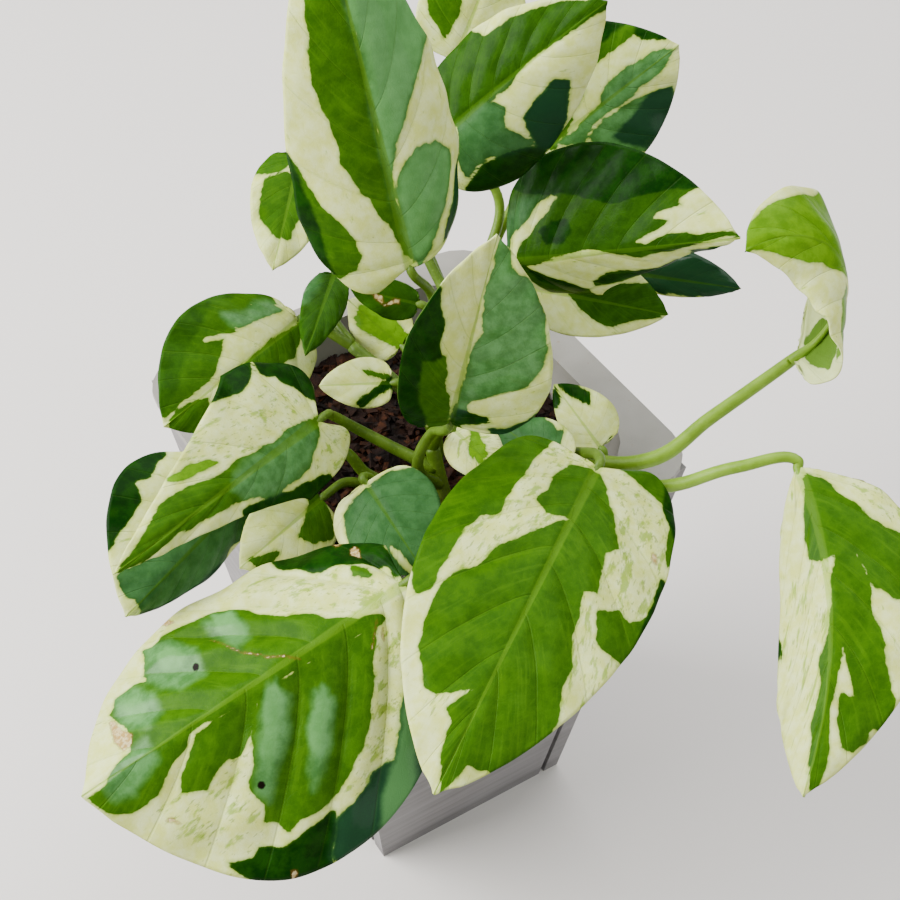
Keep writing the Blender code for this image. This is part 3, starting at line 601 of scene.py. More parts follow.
def rib_frame(blade, part):
    """Place, forward, right and up on the bent midrib at parts of its length, and the length."""
    base = Vector(blade.base)
    chord = Vector(blade.tip) - base
    forward = chord.normalized()
    side = forward.cross(Vector((0, 0, 1))).normalized()
    face = side.cross(forward)
    turn = radians(blade.roll)
    right = np.array(side * cos(turn) + face * sin(turn))
    up = np.array(face * cos(turn) - side * sin(turn))
    forward = np.array(forward)
    bend = radians(blade.bend)
    radius = chord.length / (2 * sin(bend / 2))
    part = np.asarray(part, float)[..., None]
    angle = bend * (part - 0.5)
    place = np.array(base) + forward * radius * (sin(bend / 2) + np.sin(angle))
    place = place + up * radius * (np.cos(angle) - cos(bend / 2))
    place = place + right * 4 * blade.sweep * part * (1 - part)
    ahead = forward * np.cos(angle) - up * np.sin(angle)
    out = up * np.cos(angle) + forward * np.sin(angle)
    twist = radians(blade.twist) * (part - 0.5)
    turned_right = right * np.cos(twist) + out * np.sin(twist)
    turned_out = out * np.cos(twist) - right * np.sin(twist)
    return place, ahead, turned_right, turned_out, radius * bend


def blade_grid(blade, along, across):
    """Middle of the blade on a grid of stations, with its place on the flat leaf in millimetres."""
    place = np.zeros(along.shape + (3,))
    flat = np.zeros(along.shape + (2,))
    share = np.abs(across)
    for pick, sign in ((0, -1), (1, 1)):
        edge_x, edge_y = margin(blade, along, pick)
        start = rib_start(along)
        part = start + (edge_x - start) * share**VEIN_POWER
        middle, _, right, out, length = rib_frame(blade, part)
        lift = radians(blade.lift[pick])
        curl = radians(blade.curl[pick])
        sideways = edge_y / curl * (np.sin(lift + curl * share) - sin(lift))
        outward = edge_y / curl * (cos(lift) - np.cos(lift + curl * share))
        turns = 2 * pi * RIPPLES * along
        ripple = RIPPLE * share**2 * np.sin(turns + pick * RIPPLE_STEP)
        frill = FRILL * min(1, length / FULL_LENGTH) * share**5
        frill = frill * np.sin(FRILLS * turns / RIPPLES + FRILL_STEP * pick)
        outward = outward + (ripple + frill) * (1 - along**4)
        half = middle + right * (sign * sideways)[..., None] + out * outward[..., None]
        mine = (across >= 0) if pick else (across < 0)
        place[mine] = half[mine]
        flat[mine] = np.stack([part * length, edge_y * across], -1)[mine]
    return place, flat, length


def signed_distance(points, outline):
    """How far points lie inside a closed outline: positive inside, negative outside."""
    best = np.full(len(points), np.inf)
    inside = np.zeros(len(points), bool)
    for start, end in zip(outline, np.roll(outline, -1, 0)):
        run = end - start
        step = np.clip(((points - start) @ run) / max(run @ run, TINY), 0, 1)
        best = np.minimum(best, np.hypot(*(points - start - step[:, None] * run).T))
        spans = (start[1] > points[:, 1]) != (end[1] > points[:, 1])
        rise = run[1] if abs(run[1]) > TINY else TINY
        cross = start[0] + run[0] * (points[:, 1] - start[1]) / rise
        inside ^= spans & (points[:, 0] < cross)
    return np.where(inside, best, -best)


def patch_fields(name, flat):
    """The signed distance to each kind of patch on a leaf, for every point of the flat leaf."""
    fields = {key: np.full(len(flat), -FIELD_LIMIT) for key in FIELDS}
    if name in SHADED:
        fields["shade"][:] = FIELD_LIMIT
    for tone, *numbers in MARKS.get(name, ()):
        outline = np.array(numbers, float).reshape(-1, 2)
        if len(outline) == 1:
            inside = PIT_RADIUS - np.hypot(*(flat - outline[0]).T)
        else:
            inside = signed_distance(flat, outline)
        if tone == "cream":
            for key in ("green", "dark", "bloom", "lime"):
                fields[key] = np.minimum(fields[key], -inside)
            continue
        for key in TONE_FIELDS.get(tone, (tone,)):
            spread = 0 if key in UNSPREAD else GREEN_SPREAD
            fields[key] = np.maximum(fields[key], inside + spread)
    return {key: np.clip(value, -FIELD_LIMIT, FIELD_LIMIT) for key, value in fields.items()}


def soft_noise(points, size, seed):
    """Smooth noise from a sum of sines of odd directions, about -1 to 1."""
    dice = np.random.default_rng(seed)
    total = np.zeros(len(points))
    for _ in range(NOISE_WAVES):
        angle = dice.uniform(0, 2 * pi)
        rate = 2 * pi / size * dice.uniform(*NOISE_RATES)
        heading = np.array([cos(angle), sin(angle)])
        total += np.sin(points @ heading * rate + dice.uniform(0, 2 * pi))
    return total / NOISE_WAVES**0.5


def leaf_stations(blade, length):
    """The rows from the notch to the tip and the columns across, about one cell apart."""
    reach = max(blade.width) + LOBE_ALONG * length
    lobe_rows = max(LEAST_LOBE_ROWS, int(reach * LOBE_ROWS / CELL))
    body_rows = max(LEAST_ROWS, int(length * BODY_ROWS / CELL))
    columns = max(LEAST_ROWS, int(sum(blade.width) / CELL)) // 2 * 2
    steps = 1 - (1 - np.linspace(0, 1, body_rows + 1)) ** TIP_CROWDING
    body = LOBE_SHARE + (1 - LOBE_SHARE) * 2 / pi * np.arcsin(steps)
    rows = np.concatenate([np.linspace(0, LOBE_SHARE, lobe_rows, endpoint=False), body])
    return rows, np.linspace(-1, 1, columns + 1)


def blade_normal(blade, place, part):
    """The direction square to the blade at each station, towards its upper side."""
    normal = np.cross(np.gradient(place, axis=1), np.gradient(place, axis=0))
    normal[-1] = normal[-3]
    normal = normal / np.maximum(np.linalg.norm(normal, axis=-1, keepdims=True), TINY)
    out = rib_frame(blade, part)[3]
    return normal * np.sign(np.sum(normal * out, -1, keepdims=True) + TINY)


def leaf_relief(blade, order, along, share, vein, flat, length):
    """How far the pillows between the side veins and the soft puckers rise over the blade."""
    width = sum(blade.width)
    pillow = RIDGED.get(blade.name, 1.0) * PILLOW * width
    pillow = pillow * (np.abs(np.sin(pi * vein)) ** PILLOW_ROUND - PILLOW_LEVEL)
    pillow = pillow * np.sin(pi * share**PILLOW_FLANK)
    pucker = soft_noise(flat.reshape(-1, 2), PUCKER_SIZE, order).reshape(share.shape)
    pucker = pucker * PUCKER * min(width / FULL_WIDTH, 1)
    grown = min(1, (length / FULL_LENGTH) ** SMALL_LEAF_POWER)
    return pillow * (1 - along**3) * PILLOW_SHARE * grown + pucker * share**PUCKER_FLANK


def shell_faces(shape):
    """The faces of a shell: its upper grid, the lower grid that follows it, and the rim."""
    count = shape[0] * shape[1]
    index = np.arange(count).reshape(shape)
    quads = np.stack([index[:-1, :-1], index[:-1, 1:], index[1:, 1:], index[1:, :-1]], -1)
    quads = quads.reshape(-1, 4)
    rim = np.concatenate([index[0, :], index[1:, -1], index[-1, -2::-1], index[-2::-1, 0]])
    edge = np.stack([rim[:-1], rim[:-1] + count, rim[1:] + count, rim[1:]], -1)
    return np.concatenate([quads, quads[:, ::-1] + count, edge])


def make_leaf(blade, order, surface):
    """A fine leaf with a channelled midrib, pillows between its side veins, and its patches."""
    rows, columns = leaf_stations(blade, float(rib_frame(blade, 0.0)[4]))
    along, across = np.meshgrid(rows, columns, indexing="ij")
    place, flat, length = blade_grid(blade, along, across)
    part = np.clip(flat[..., 0] / length, 0, 1)
    normal = blade_normal(blade, place, part)
    share = np.abs(across)
    vein = along * VEINS_A_SIDE + VEIN_STAGGER * (across > 0)
    rib = np.exp(-((flat[..., 1] / RIB_WIDTH) ** 2)) * (1 - RIB_FADE * along)
    relief = leaf_relief(blade, order, along, share, vein, flat, length)
    thickness = EDGE_THICKNESS + (MID_THICKNESS - EDGE_THICKNESS) * (1 - share**EDGE_POWER)
    upper = place + normal * (thickness / 2 + relief - RIB_CHANNEL * rib)[..., None]
    lower = place - normal * (thickness / 2 - relief + RIB_KEEL * rib)[..., None]
    points = to_world(np.concatenate([upper.reshape(-1, 3), lower.reshape(-1, 3)]))
    mesh = bpy.data.meshes.new(blade.name + "_fine")
    mesh.from_pydata(points.tolist(), [], shell_faces(along.shape).tolist())

    flat_list = flat.reshape(-1, 2)
    for key, value in patch_fields(blade.name, flat_list).items():
        keep(mesh, key, np.tile(value, 2))
    keep(mesh, "under", np.repeat([0.0, 1.0], along.size))
    rib_half = RIB_PAINT * (1 - part.ravel()) ** RIB_PAINT_POWER * min(1, length / RIB_PAINT_LENGTH)
    keep(mesh, "rib", np.tile(np.abs(flat_list[:, 1]) / (rib_half + RIB_PAINT_TIP), 2))
    vein_place = np.dstack([vein, flat[..., 1], np.full_like(vein, order * VEIN_OFFSET)])
    flat_place = np.dstack([flat, np.full_like(vein, order * FLAT_OFFSET)])
    keep(mesh, "vein", np.tile(vein_place.reshape(-1, 3), (2, 1)))
    keep(mesh, "flat", np.tile(flat_place.reshape(-1, 3), (2, 1)))
    weld([mesh], mesh, LEAF_WELD)
    mesh.materials.append(surface)
    made = new_object(blade.name + "_fine", mesh)
    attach(made, "root")
    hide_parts(blade.name)


# Stems and stalks


def stalk_route(blade, points):
    """The stalk's points on to its end in the notch and a little way under the midrib."""
    place, ahead, _, out, length = rib_frame(blade, UNDER_PARTS)
    edge_x, edge_y = margin(blade, np.array(0.0), 0)
    opening = atan2(float(edge_y), max(-float(edge_x) * length, LEAST_LOBE))
    wedge = (STALK_END_RADIUS + STALK_GAP) / sin(opening)
    end = place[0] - ahead[0] * (wedge * blade.seat + NOTCH_GAP)
    under = place - out * UNDER_DROPS
    return [Vector(p) for p in (*points, end, *under)]


def make_tube(name, points, radii):
    """A closed round tube through the points, as a mesh, with a radius at each of them."""
    curve = bpy.data.curves.new(name, "CURVE")
    curve.dimensions = "3D"
    curve.bevel_depth = 1.0
    curve.bevel_resolution = TUBE_ROUND
    curve.use_fill_caps = True
    curve.resolution_u = TUBE_STEPS
    curve.render_resolution_u = TUBE_STEPS
    spline = curve.splines.new("BEZIER")
    spline.bezier_points.add(len(points) - 1)
    for knot, point, radius in zip(spline.bezier_points, to_world(points), radii):
        knot.co = point
        knot.handle_left_type = "AUTO"
        knot.handle_right_type = "AUTO"
        knot.radius = radius * MM
    holder = new_object(name, curve)
    bpy.context.view_layer.update()
    evaluated = holder.evaluated_get(bpy.context.evaluated_depsgraph_get())
    mesh = bpy.data.meshes.new_from_object(evaluated)
    bpy.data.objects.remove(holder, do_unlink=True)
    bpy.data.curves.remove(curve)
    return mesh


def make_vine(name, surface):
    """A vine's stem with its stalks, which run on under their blades, as one piece."""
    stem, radius, stalks = VINES[name]
    across, deep, _ = stem[0]
    route = [(across, deep, SOIL_TOP - HOLE_DEPTH + STALK_GAP)]
    route += [(across, deep, SOIL_TOP - HOLE_DEPTH / 2), *stem]
    meshes = [make_tube(name, route, np.linspace(radius, radius * STEM_TAPER, len(route)))]
    for leaf, points in stalks.items():
        route = stalk_route(BLADES[leaf], points)
        girth = STALK_GIRTH.get(leaf, 1.0)
        radii = list(np.linspace(radius * STALK_FROM_STEM, STALK_RADIUS, len(route) - 3) * girth)
        radii += [share * girth for share in UNDER_RADII] + [STALK_POINT]
        meshes.append(make_tube(leaf, route, radii))
    whole = bpy.data.meshes.new(name + "_fine")
    weld(meshes, whole, TUBE_WELD)
    whole.materials.append(surface)
    made = new_object(name + "_fine", whole)
    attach(made, "root")
    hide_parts(name)


# Soil


def make_husk(surface):
    """Loose chips of coco husk over the soil, as one piece."""
    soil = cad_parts["soil"]
    corners = [soil.matrix_world @ v.co for v in soil.data.vertices]
    tree = BVHTree.FromPolygons(corners, [tuple(p.vertices) for p in soil.data.polygons])
    dice = np.random.default_rng(HUSK_SEED)
    ring = [[-1, -1], [1, -1], [1, 1], [-1, 1]]
    box = np.array([[x, y, z] for z in (-1, 1) for x, y in ring]) / 2
    sides = [[0, 3, 2, 1], [4, 5, 6, 7], [0, 1, 5, 4], [1, 2, 6, 5], [2, 3, 7, 6], [3, 0, 4, 7]]
    points, faces, tones = [], [], []
    for turn in range(HUSK_CHIPS):
        x, y = dice.uniform(-HUSK_REACH, HUSK_REACH, 2)
        hit = tree.ray_cast(Vector((x, y, FEEL_FROM)), Vector((0, 0, -1)))
        if hit[0] is None or hit[0].z < HUSK_LOWEST * MM:
            continue
        length = dice.uniform(*CHIP_LENGTH) * (SMALL_CHIP if turn % LARGE_CHIP_EVERY else 1)
        shape = box * [length, length * dice.uniform(*CHIP_WIDTH), dice.uniform(*CHIP_THICKNESS)]
        skew = dice.uniform(-CHIP_SKEW, CHIP_SKEW, box.shape)
        shape = shape + skew * length * CHIP_SKEW_SHARES
        spin = Matrix.Rotation(dice.uniform(0, 2 * pi), 3, "Z")
        spin = spin @ Matrix.Rotation(dice.normal(0, CHIP_TILTS[0]), 3, "X")
        spin = spin @ Matrix.Rotation(dice.normal(0, CHIP_TILTS[1]), 3, "Y")
        height = hit[0].z + dice.uniform(*CHIP_RISE) * MM
        faces.append(np.array(sides) + len(box) * len(points))
        points.append(shape @ np.array(spin).T * MM + np.array([x, y, height]))
        tones.append(np.full(len(box), dice.uniform(0, 1)))
    mesh = bpy.data.meshes.new("husk_chips")
    mesh.from_pydata(np.concatenate(points).tolist(), [], np.concatenate(faces).tolist())
    keep(mesh, "tone", np.concatenate(tones))
    mesh.materials.append(surface)
    made = new_object("husk_chips", mesh)
    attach(made, "root")


# Materials


class Nodes:
    """Short calls that add nodes to one material or group and link them."""

    def __init__(self, tree):
        self.tree = tree

    def add(self, kind, **settings):
        made = self.tree.nodes.new("ShaderNode" + kind)
        for key, value in settings.items():
            setattr(made, key, value)
        return made

    def put(self, node, **values):
        """Sets or links a node's inputs by name, with _ for a space, or by i and a number."""
        for key, value in values.items():
            place = int(key[1:]) if key[0] == "i" and key[1:].isdigit() else key.replace("_", " ")
            if isinstance(value, bpy.types.NodeSocket):
                self.tree.links.new(value, node.inputs[place])
            else:
                node.inputs[place].default_value = value
        return node

    def attribute(self, name, vector=False):
        node = self.add("Attribute", attribute_type="GEOMETRY", attribute_name=name)
        return node.outputs["Vector" if vector else "Fac"]

    def object_place(self):
        return self.add("TexCoord").outputs["Object"]

    def split(self, vector):
        return self.put(self.add("SeparateXYZ"), Vector=vector).outputs

    def math(self, operation, first, second=0.0, third=0.0):
        node = self.add("Math", operation=operation)
        return self.put(node, i0=first, i1=second, i2=third).outputs[0]

    def plus(self, first, second):
        return self.math("ADD", first, second)

    def minus(self, first, second):
        return self.math("SUBTRACT", first, second)

    def times(self, first, second):
        return self.math("MULTIPLY", first, second)

    def most(self, first, second):
        return self.math("MAXIMUM", first, second)

    def times_plus(self, first, second, third):
        return self.math("MULTIPLY_ADD", first, second, third)

    def scaled(self, vector, factors):
        node = self.add("VectorMath", operation="MULTIPLY")
        return self.put(node, i0=vector, i1=factors).outputs[0]

    def noise(self, vector, scale=1.0, detail=3.0, roughness=0.55):
        node = self.add("TexNoise")
        self.put(node, Vector=vector, Scale=scale, Detail=detail, Roughness=roughness)
        return node.outputs["Fac"]

    def step(self, value, low, high):
        node = self.add("MapRange", interpolation_type="SMOOTHSTEP")
        return self.put(node, Value=value, From_Min=low, From_Max=high).outputs["Result"]

    def mix(self, share, first, second):
        node = self.add("Mix", data_type="RGBA", blend_type="MIX")
        return self.put(node, i0=share, i6=first, i7=second).outputs[2]

    def tint(self, base, tone, share, strength):
        """Lays a tone over a base, at a strength where the share is full."""
        return self.mix(self.times(share, strength), base, tone)

    def group(self, tree, **values):
        return self.put(self.add("Group", node_tree=tree), **values).outputs

    def bump(self, shader, height, strength, distance):
        node = self.put(self.add("Bump"), Strength=strength, Distance=distance, Height=height)
        self.put(shader, Normal=node.outputs["Normal"])


def colour(red, green, blue):
    """A linear colour with full alpha."""
    return (red, green, blue, 1.0)


CREAM_WHITE = colour(0.63, 0.70, 0.31)
CREAM_YELLOW = colour(0.55, 0.61, 0.15)
CREAM_STREAK = colour(0.45, 0.55, 0.10)
FLECK_LIME = colour(0.19, 0.32, 0.012)
FLECK_GREEN = colour(0.12, 0.20, 0.015)
MID_GREEN = colour(0.021, 0.078, 0.001)
MID_GREEN_LIGHT = colour(0.036, 0.114, 0.001)
MID_GREEN_STREAK = colour(0.062, 0.165, 0.004)
DEEP_GREEN = colour(0.001, 0.018, 0.0005)
DEEP_GREEN_LIGHT = colour(0.004, 0.036, 0.001)
# Painted sheen and painted highlight: greyer, paler greens that stand in for reflections of the
# lamps on the glossy leaf.
PAINTED_SHEEN_GREEN = colour(0.044, 0.145, 0.032)
PAINTED_SHEEN_LIGHT = colour(0.092, 0.250, 0.078)
PAINTED_SHEEN_DARK = colour(0.010, 0.046, 0.018)
PAINTED_HIGHLIGHT_GREEN = colour(0.135, 0.36, 0.105)
LIME = colour(0.070, 0.185, 0.001)
LIME_LIGHT = colour(0.110, 0.255, 0.003)
RIB_ON_CREAM = colour(0.27, 0.42, 0.04)
RIB_ON_GREEN = colour(0.075, 0.175, 0.006)
SCAR = colour(0.34, 0.22, 0.07)
SCAR_PALE = colour(0.56, 0.46, 0.24)
SCAR_RIM = colour(0.14, 0.06, 0.012)
PIT_BLACK = colour(0.006, 0.004, 0.002)
UNDER_CREAM = colour(0.60, 0.68, 0.34)
UNDER_GREEN = colour(0.13, 0.24, 0.03)

STALK_SHADED = colour(0.030, 0.065, 0.004), colour(0.055, 0.105, 0.008)
STALK_LIT = colour(0.15, 0.28, 0.010), colour(0.21, 0.37, 0.025)
STALK_STREAK = colour(0.24, 0.38, 0.05)
STALK_FOOT = colour(0.06, 0.04, 0.015)
HUSK_DARK = colour(0.003, 0.0012, 0.0006), colour(0.014, 0.0045, 0.0018)
HUSK_WARM = colour(0.016, 0.005, 0.0015), colour(0.050, 0.014, 0.003)
HUSK_FIBRE = colour(0.040, 0.016, 0.006)
# Painted shade: the off-white plastic is darkened to grey, as if in shade.
LINER_SHADED_WHITE = colour(0.20, 0.19, 0.165), colour(0.24, 0.23, 0.205)
LINER_SPECK = colour(0.20, 0.12, 0.07)
FLOOR_PALE = colour(0.70, 0.668, 0.64), colour(0.725, 0.693, 0.665)

# How far the edges of the patches wander along the side veins, in broad waves and in fine ones
FEATHERING = 1.5
DRIFTING = 1.6
FRAYING = 0.35

# Where each kind of patch begins and where it is full, millimetres inside its outline. The
# lines have theirs in parts of the way between side veins, of the rib's half and of a cell.
GREEN_EDGE = (-0.16, 0.18)
HALO_EDGE = (-0.8, 0.05)
PATCH_EDGES = {
    "dark": (-0.5, 0.6),
    "bloom": (-1.4, 1.4),
    "lime": (-0.5, 0.5),
    "shade": (-0.9, 0.9),
    "pale": (-0.9, 0.9),
}
SPECKLE_EDGE = (-2.0, 1.5)
SCAR_EDGE = (-0.12, 0.12)
SCAR_RIM_EDGE = (-0.45, -0.1)
PIT_EDGE = (-0.25, 0.1)
SIDE_LINE_EDGE = (0.47, 0.495)
RIB_LINE_EDGE = (1.15, 0.7)
NET_LINE_EDGE = (0.07, 0.0)

# Noise above which flecks begin and are full, and how much more of them a speckled patch has
DOT_EDGE = (0.70, 0.76)
DOT_GAIN = 0.08
BLOT_EDGE = (0.63, 0.75)
BLOT_GAIN = 0.11

# How much a texture is stretched along and across the side veins, or over the flat leaf
FEATHER_STRETCH = (2.4, 0.26, 1.0)
FINE_STRETCH = (1.3, 1.3, 1.0)
DRIFT_STRETCH = (0.22, 0.22, 1.0)
DOT_STRETCH = (9.0, 1.3, 1.0)
BLOT_STRETCH = (3.4, 0.42, 1.0)
MOTTLE_STRETCH = (0.35, 0.35, 1.0)
STREAK_STRETCH = (7.0, 0.14, 1.0)
NET_STRETCH = (0.5, 0.5, 1.0)

# Metres in the planter's frame over which stalks go from brown to dark (painted shade) to pale
# green (painted light)
STALK_BROWN_ENDS = (0.134, 0.118)
STALK_LIT_RISE = (0.124, 0.138)
STALK_LIT_REACH = (0.018, 0.034)


def new_material(name):
    """An empty Principled material and the helper that fills it."""
    made = bpy.data.materials.new(name)
    made.use_nodes = True
    return made, Nodes(made.node_tree), made.node_tree.nodes["Principled BSDF"]


def new_group(name, inputs, outputs):
    """A node group with named sockets, the helper that fills it, its inputs and its end node."""
    tree = bpy.data.node_groups.new(name, "ShaderNodeTree")
    for way, sockets in (("INPUT", inputs), ("OUTPUT", outputs)):
        for label, kind in sockets.items():
            tree.interface.new_socket(label, in_out=way, socket_type="NodeSocket" + kind)
    given = tree.nodes.new("NodeGroupInput").outputs
    return tree, Nodes(tree), given, tree.nodes.new("NodeGroupOutput")


def fine_grain_group():
    """Fine pores or fibre: a grain value and the roughness that goes with it."""
    inputs = {"Place": "Vector"}
    inputs.update(dict.fromkeys(("Scale", "Detail", "Rough Base", "Rough Span"), "Float"))
    outputs = {"Grain": "Float", "Roughness": "Float"}
    tree, n, given, result = new_group("fine_grain", inputs, outputs)
    grain = n.noise(given["Place"], given["Scale"], given["Detail"])
    rough = n.times_plus(grain, given["Rough Span"], given["Rough Base"])
    n.put(result, Grain=grain, Roughness=rough)
    return tree


def sawn_grain_group():
    """Sawn wood: streaks along the grain between two tones, with a pale wash rubbed over them."""
    inputs = {"Place": "Vector", "Stretch": "Vector", "Light": "Color", "Shade": "Color",
              "Wash": "Color", "Wash Share": "Float"}
    outputs = {"Colour": "Color", "Roughness": "Float", "Height": "Float"}
    tree, n, given, result = new_group("sawn_grain", inputs, outputs)
    along = n.scaled(given["Place"], given["Stretch"])
    grain = n.noise(along, detail=5.0, roughness=0.6)
    fine = n.noise(n.scaled(along, (3.1, 3.1, 3.1)), roughness=0.6)
    broad = n.noise(given["Place"], scale=28.0)
    tone = n.mix(n.step(grain, 0.3, 0.7), given["Shade"], given["Light"])
    tone = n.tint(tone, given["Shade"], n.step(fine, 0.5, 0.7), strength=0.4)
    tone = n.tint(tone, given["Wash"], n.step(broad, 0.4, 0.75), given["Wash Share"])
    rough = n.times_plus(grain, 0.2, 0.6)
    n.put(result, Colour=tone, Roughness=rough, Height=n.times_plus(fine, 0.5, grain))
    return tree


FINE_GRAIN = fine_grain_group()
SAWN_GRAIN = sawn_grain_group()


def leaf_surface():
    """Cream leaf tissue with feathered green, dark and lime patches, patches of painted sheen and
    painted highlight, veins and scars.
    """
    made, n, shader = new_material("variegated_leaf")
    vein = n.attribute("vein", True)
    flat = n.attribute("flat", True)
    feather = n.minus(n.noise(n.scaled(vein, FEATHER_STRETCH)), 0.5)
    fine = n.minus(n.noise(n.scaled(flat, FINE_STRETCH), detail=2.0), 0.5)
    drift = n.minus(n.noise(n.scaled(flat, DRIFT_STRETCH), detail=2.0), 0.5)
    ragged = n.plus(n.times(feather, FEATHERING), n.times(drift, DRIFTING))
    ragged = n.plus(ragged, n.times(fine, FRAYING))
    green_at = n.plus(n.attribute("green"), ragged)
    body = n.step(green_at, *GREEN_EDGE)
    halo = n.step(green_at, *HALO_EDGE)
    dark, bloom, lime, shade, pale = [
        n.step(n.plus(n.attribute(key), ragged), *edge) for key, edge in PATCH_EDGES.items()
    ]
    amount = n.step(n.attribute("speckle"), *SPECKLE_EDGE)
    dots = n.noise(n.scaled(vein, DOT_STRETCH), detail=2.0, roughness=0.5)
    dots = n.step(n.plus(dots, n.times(amount, DOT_GAIN)), *DOT_EDGE)
    blots = n.noise(n.scaled(vein, BLOT_STRETCH), detail=4.0, roughness=0.62)
    blots = n.step(n.plus(blots, n.times(amount, BLOT_GAIN)), *BLOT_EDGE)
    mottle = n.noise(n.scaled(flat, MOTTLE_STRETCH), detail=4.0, roughness=0.6)
    streak = n.noise(n.scaled(vein, STREAK_STRETCH), roughness=0.6)

    clouded = n.step(mottle, 0.3, 0.7)
    patchy = n.step(mottle, 0.35, 0.65)
    cream = n.mix(clouded, CREAM_YELLOW, CREAM_WHITE)
    cream = n.tint(cream, CREAM_STREAK, n.step(streak, 0.55, 0.75), strength=0.25)
    cream = n.tint(cream, FLECK_LIME, blots, strength=0.75)
    cream = n.tint(cream, FLECK_GREEN, dots, strength=0.55)
    cream = n.tint(cream, FLECK_LIME, halo, strength=0.5)
    mid = n.mix(clouded, MID_GREEN, MID_GREEN_LIGHT)
    mid = n.tint(mid, MID_GREEN_STREAK, n.step(streak, 0.5, 0.7), strength=0.4)
    deep = n.mix(patchy, DEEP_GREEN, DEEP_GREEN_LIGHT)
    bright = n.mix(patchy, LIME, LIME_LIGHT)
    half_shade = n.times(shade, 0.5)
    # Painted sheen and painted highlight: the colour is made greyer and paler where the leaf would
    # reflect the lamps.
    painted_sheen_tone = n.mix(clouded, PAINTED_SHEEN_GREEN, PAINTED_SHEEN_LIGHT)
    painted_sheen_tone = n.mix(n.most(dark, half_shade), painted_sheen_tone, PAINTED_SHEEN_DARK)
    painted_sheen_tone = n.tint(painted_sheen_tone, PAINTED_HIGHLIGHT_GREEN, pale, strength=0.5)
    depth = n.most(n.times(dark, 0.95), half_shade)
    tissue = n.mix(depth, mid, deep)
    tissue = n.tint(tissue, painted_sheen_tone, n.most(bloom, pale), strength=0.85)
    tissue = n.mix(lime, tissue, bright)
    top = n.mix(body, cream, tissue)

    beside = n.math("ABSOLUTE", n.minus(n.math("FRACT", n.split(vein)["X"]), 0.5))
    side_line = n.step(beside, *SIDE_LINE_EDGE)
    rib_line = n.step(n.attribute("rib"), *RIB_LINE_EDGE)
    net = n.add("TexVoronoi", feature="DISTANCE_TO_EDGE")
    n.put(net, Vector=n.scaled(flat, NET_STRETCH), Scale=1.0)
    mesh_lines = n.step(net.outputs["Distance"], *NET_LINE_EDGE)
    vein_tint = n.mix(body, RIB_ON_CREAM, n.mix(depth, RIB_ON_GREEN, MID_GREEN))
    top = n.tint(top, vein_tint, side_line, strength=0.14)
    top = n.tint(top, vein_tint, n.times(mesh_lines, n.minus(body, dark)), strength=0.06)
    top = n.tint(top, vein_tint, rib_line, strength=0.6)
    scar_at = n.plus(n.attribute("brown"), n.times(fine, 0.8))
    scar = n.step(scar_at, *SCAR_EDGE)
    top = n.tint(top, SCAR_RIM, n.step(scar_at, *SCAR_RIM_EDGE), strength=0.45)
    top = n.tint(top, n.mix(n.step(fine, -0.1, 0.15), SCAR, SCAR_PALE), scar, strength=0.9)
    pit = n.step(n.attribute("pit"), *PIT_EDGE)
    top = n.mix(pit, top, PIT_BLACK)
    under = n.attribute("under")
    top = n.tint(top, n.mix(body, UNDER_CREAM, UNDER_GREEN), under, strength=0.6)

    skin = n.group(FINE_GRAIN, Place=flat, Scale=2.6, Detail=2.0, Rough_Base=0.30, Rough_Span=0.14)
    rough = n.times_plus(body, -0.05, skin["Roughness"])
    rough = n.times_plus(under, 0.22, rough)
    rough = n.times_plus(scar, 0.35, rough)
    gloss = n.times(n.minus(1.0, n.most(pit, scar)), n.minus(1.0, shade))
    coat = n.times_plus(n.times(gloss, bloom), 0.22, 0.02)
    n.put(shader, Base_Color=top, Roughness=rough, Specular_IOR_Level=0.03)
    n.put(shader, Coat_Weight=coat, Coat_Roughness=0.16)
    height = n.times_plus(mesh_lines, -0.1, n.times(side_line, -0.7))
    height = n.times_plus(mottle, 0.8, height)
    height = n.times_plus(skin["Grain"], 0.35, height)
    height = n.times_plus(scar, -0.8, height)
    n.bump(shader, height, strength=0.6, distance=0.00022)
    return made


def stalk_surface():
    """Olive-green stalk with fine pale streaks, browner by the soil, with painted shade that keeps
    it dark except high up towards +X, where it is a painted lit pale green.
    """
    made, n, shader = new_material("green_stalk")
    place = n.object_place()
    split = n.split(place)
    blotch = n.noise(place, scale=160.0)
    skin = n.group(
        FINE_GRAIN, Place=place, Scale=1400.0, Detail=2.0, Rough_Base=0.32, Rough_Span=0.2
    )
    clouded = n.step(blotch, 0.35, 0.65)
    # Painted shade and light: the stalk is dark low down and towards -X, and a lit pale green high
    # up towards +X.
    reach = n.times(n.step(split["Z"], *STALK_LIT_RISE), n.step(split["X"], *STALK_LIT_REACH))
    reach = n.times_plus(reach, 0.72, 0.22)
    base = n.mix(reach, n.mix(clouded, *STALK_SHADED), n.mix(clouded, *STALK_LIT))
    base = n.tint(base, STALK_STREAK, n.step(skin["Grain"], 0.55, 0.75), strength=0.3)
    low = n.times(n.step(split["Z"], *STALK_BROWN_ENDS), n.step(blotch, 0.3, 0.55))
    base = n.tint(base, STALK_FOOT, low, strength=0.75)
    n.put(shader, Base_Color=base, Roughness=skin["Roughness"], Specular_IOR_Level=0.25)
    height = n.times_plus(blotch, 1.2, skin["Grain"])
    n.bump(shader, height, strength=0.3, distance=0.0002)
    return made


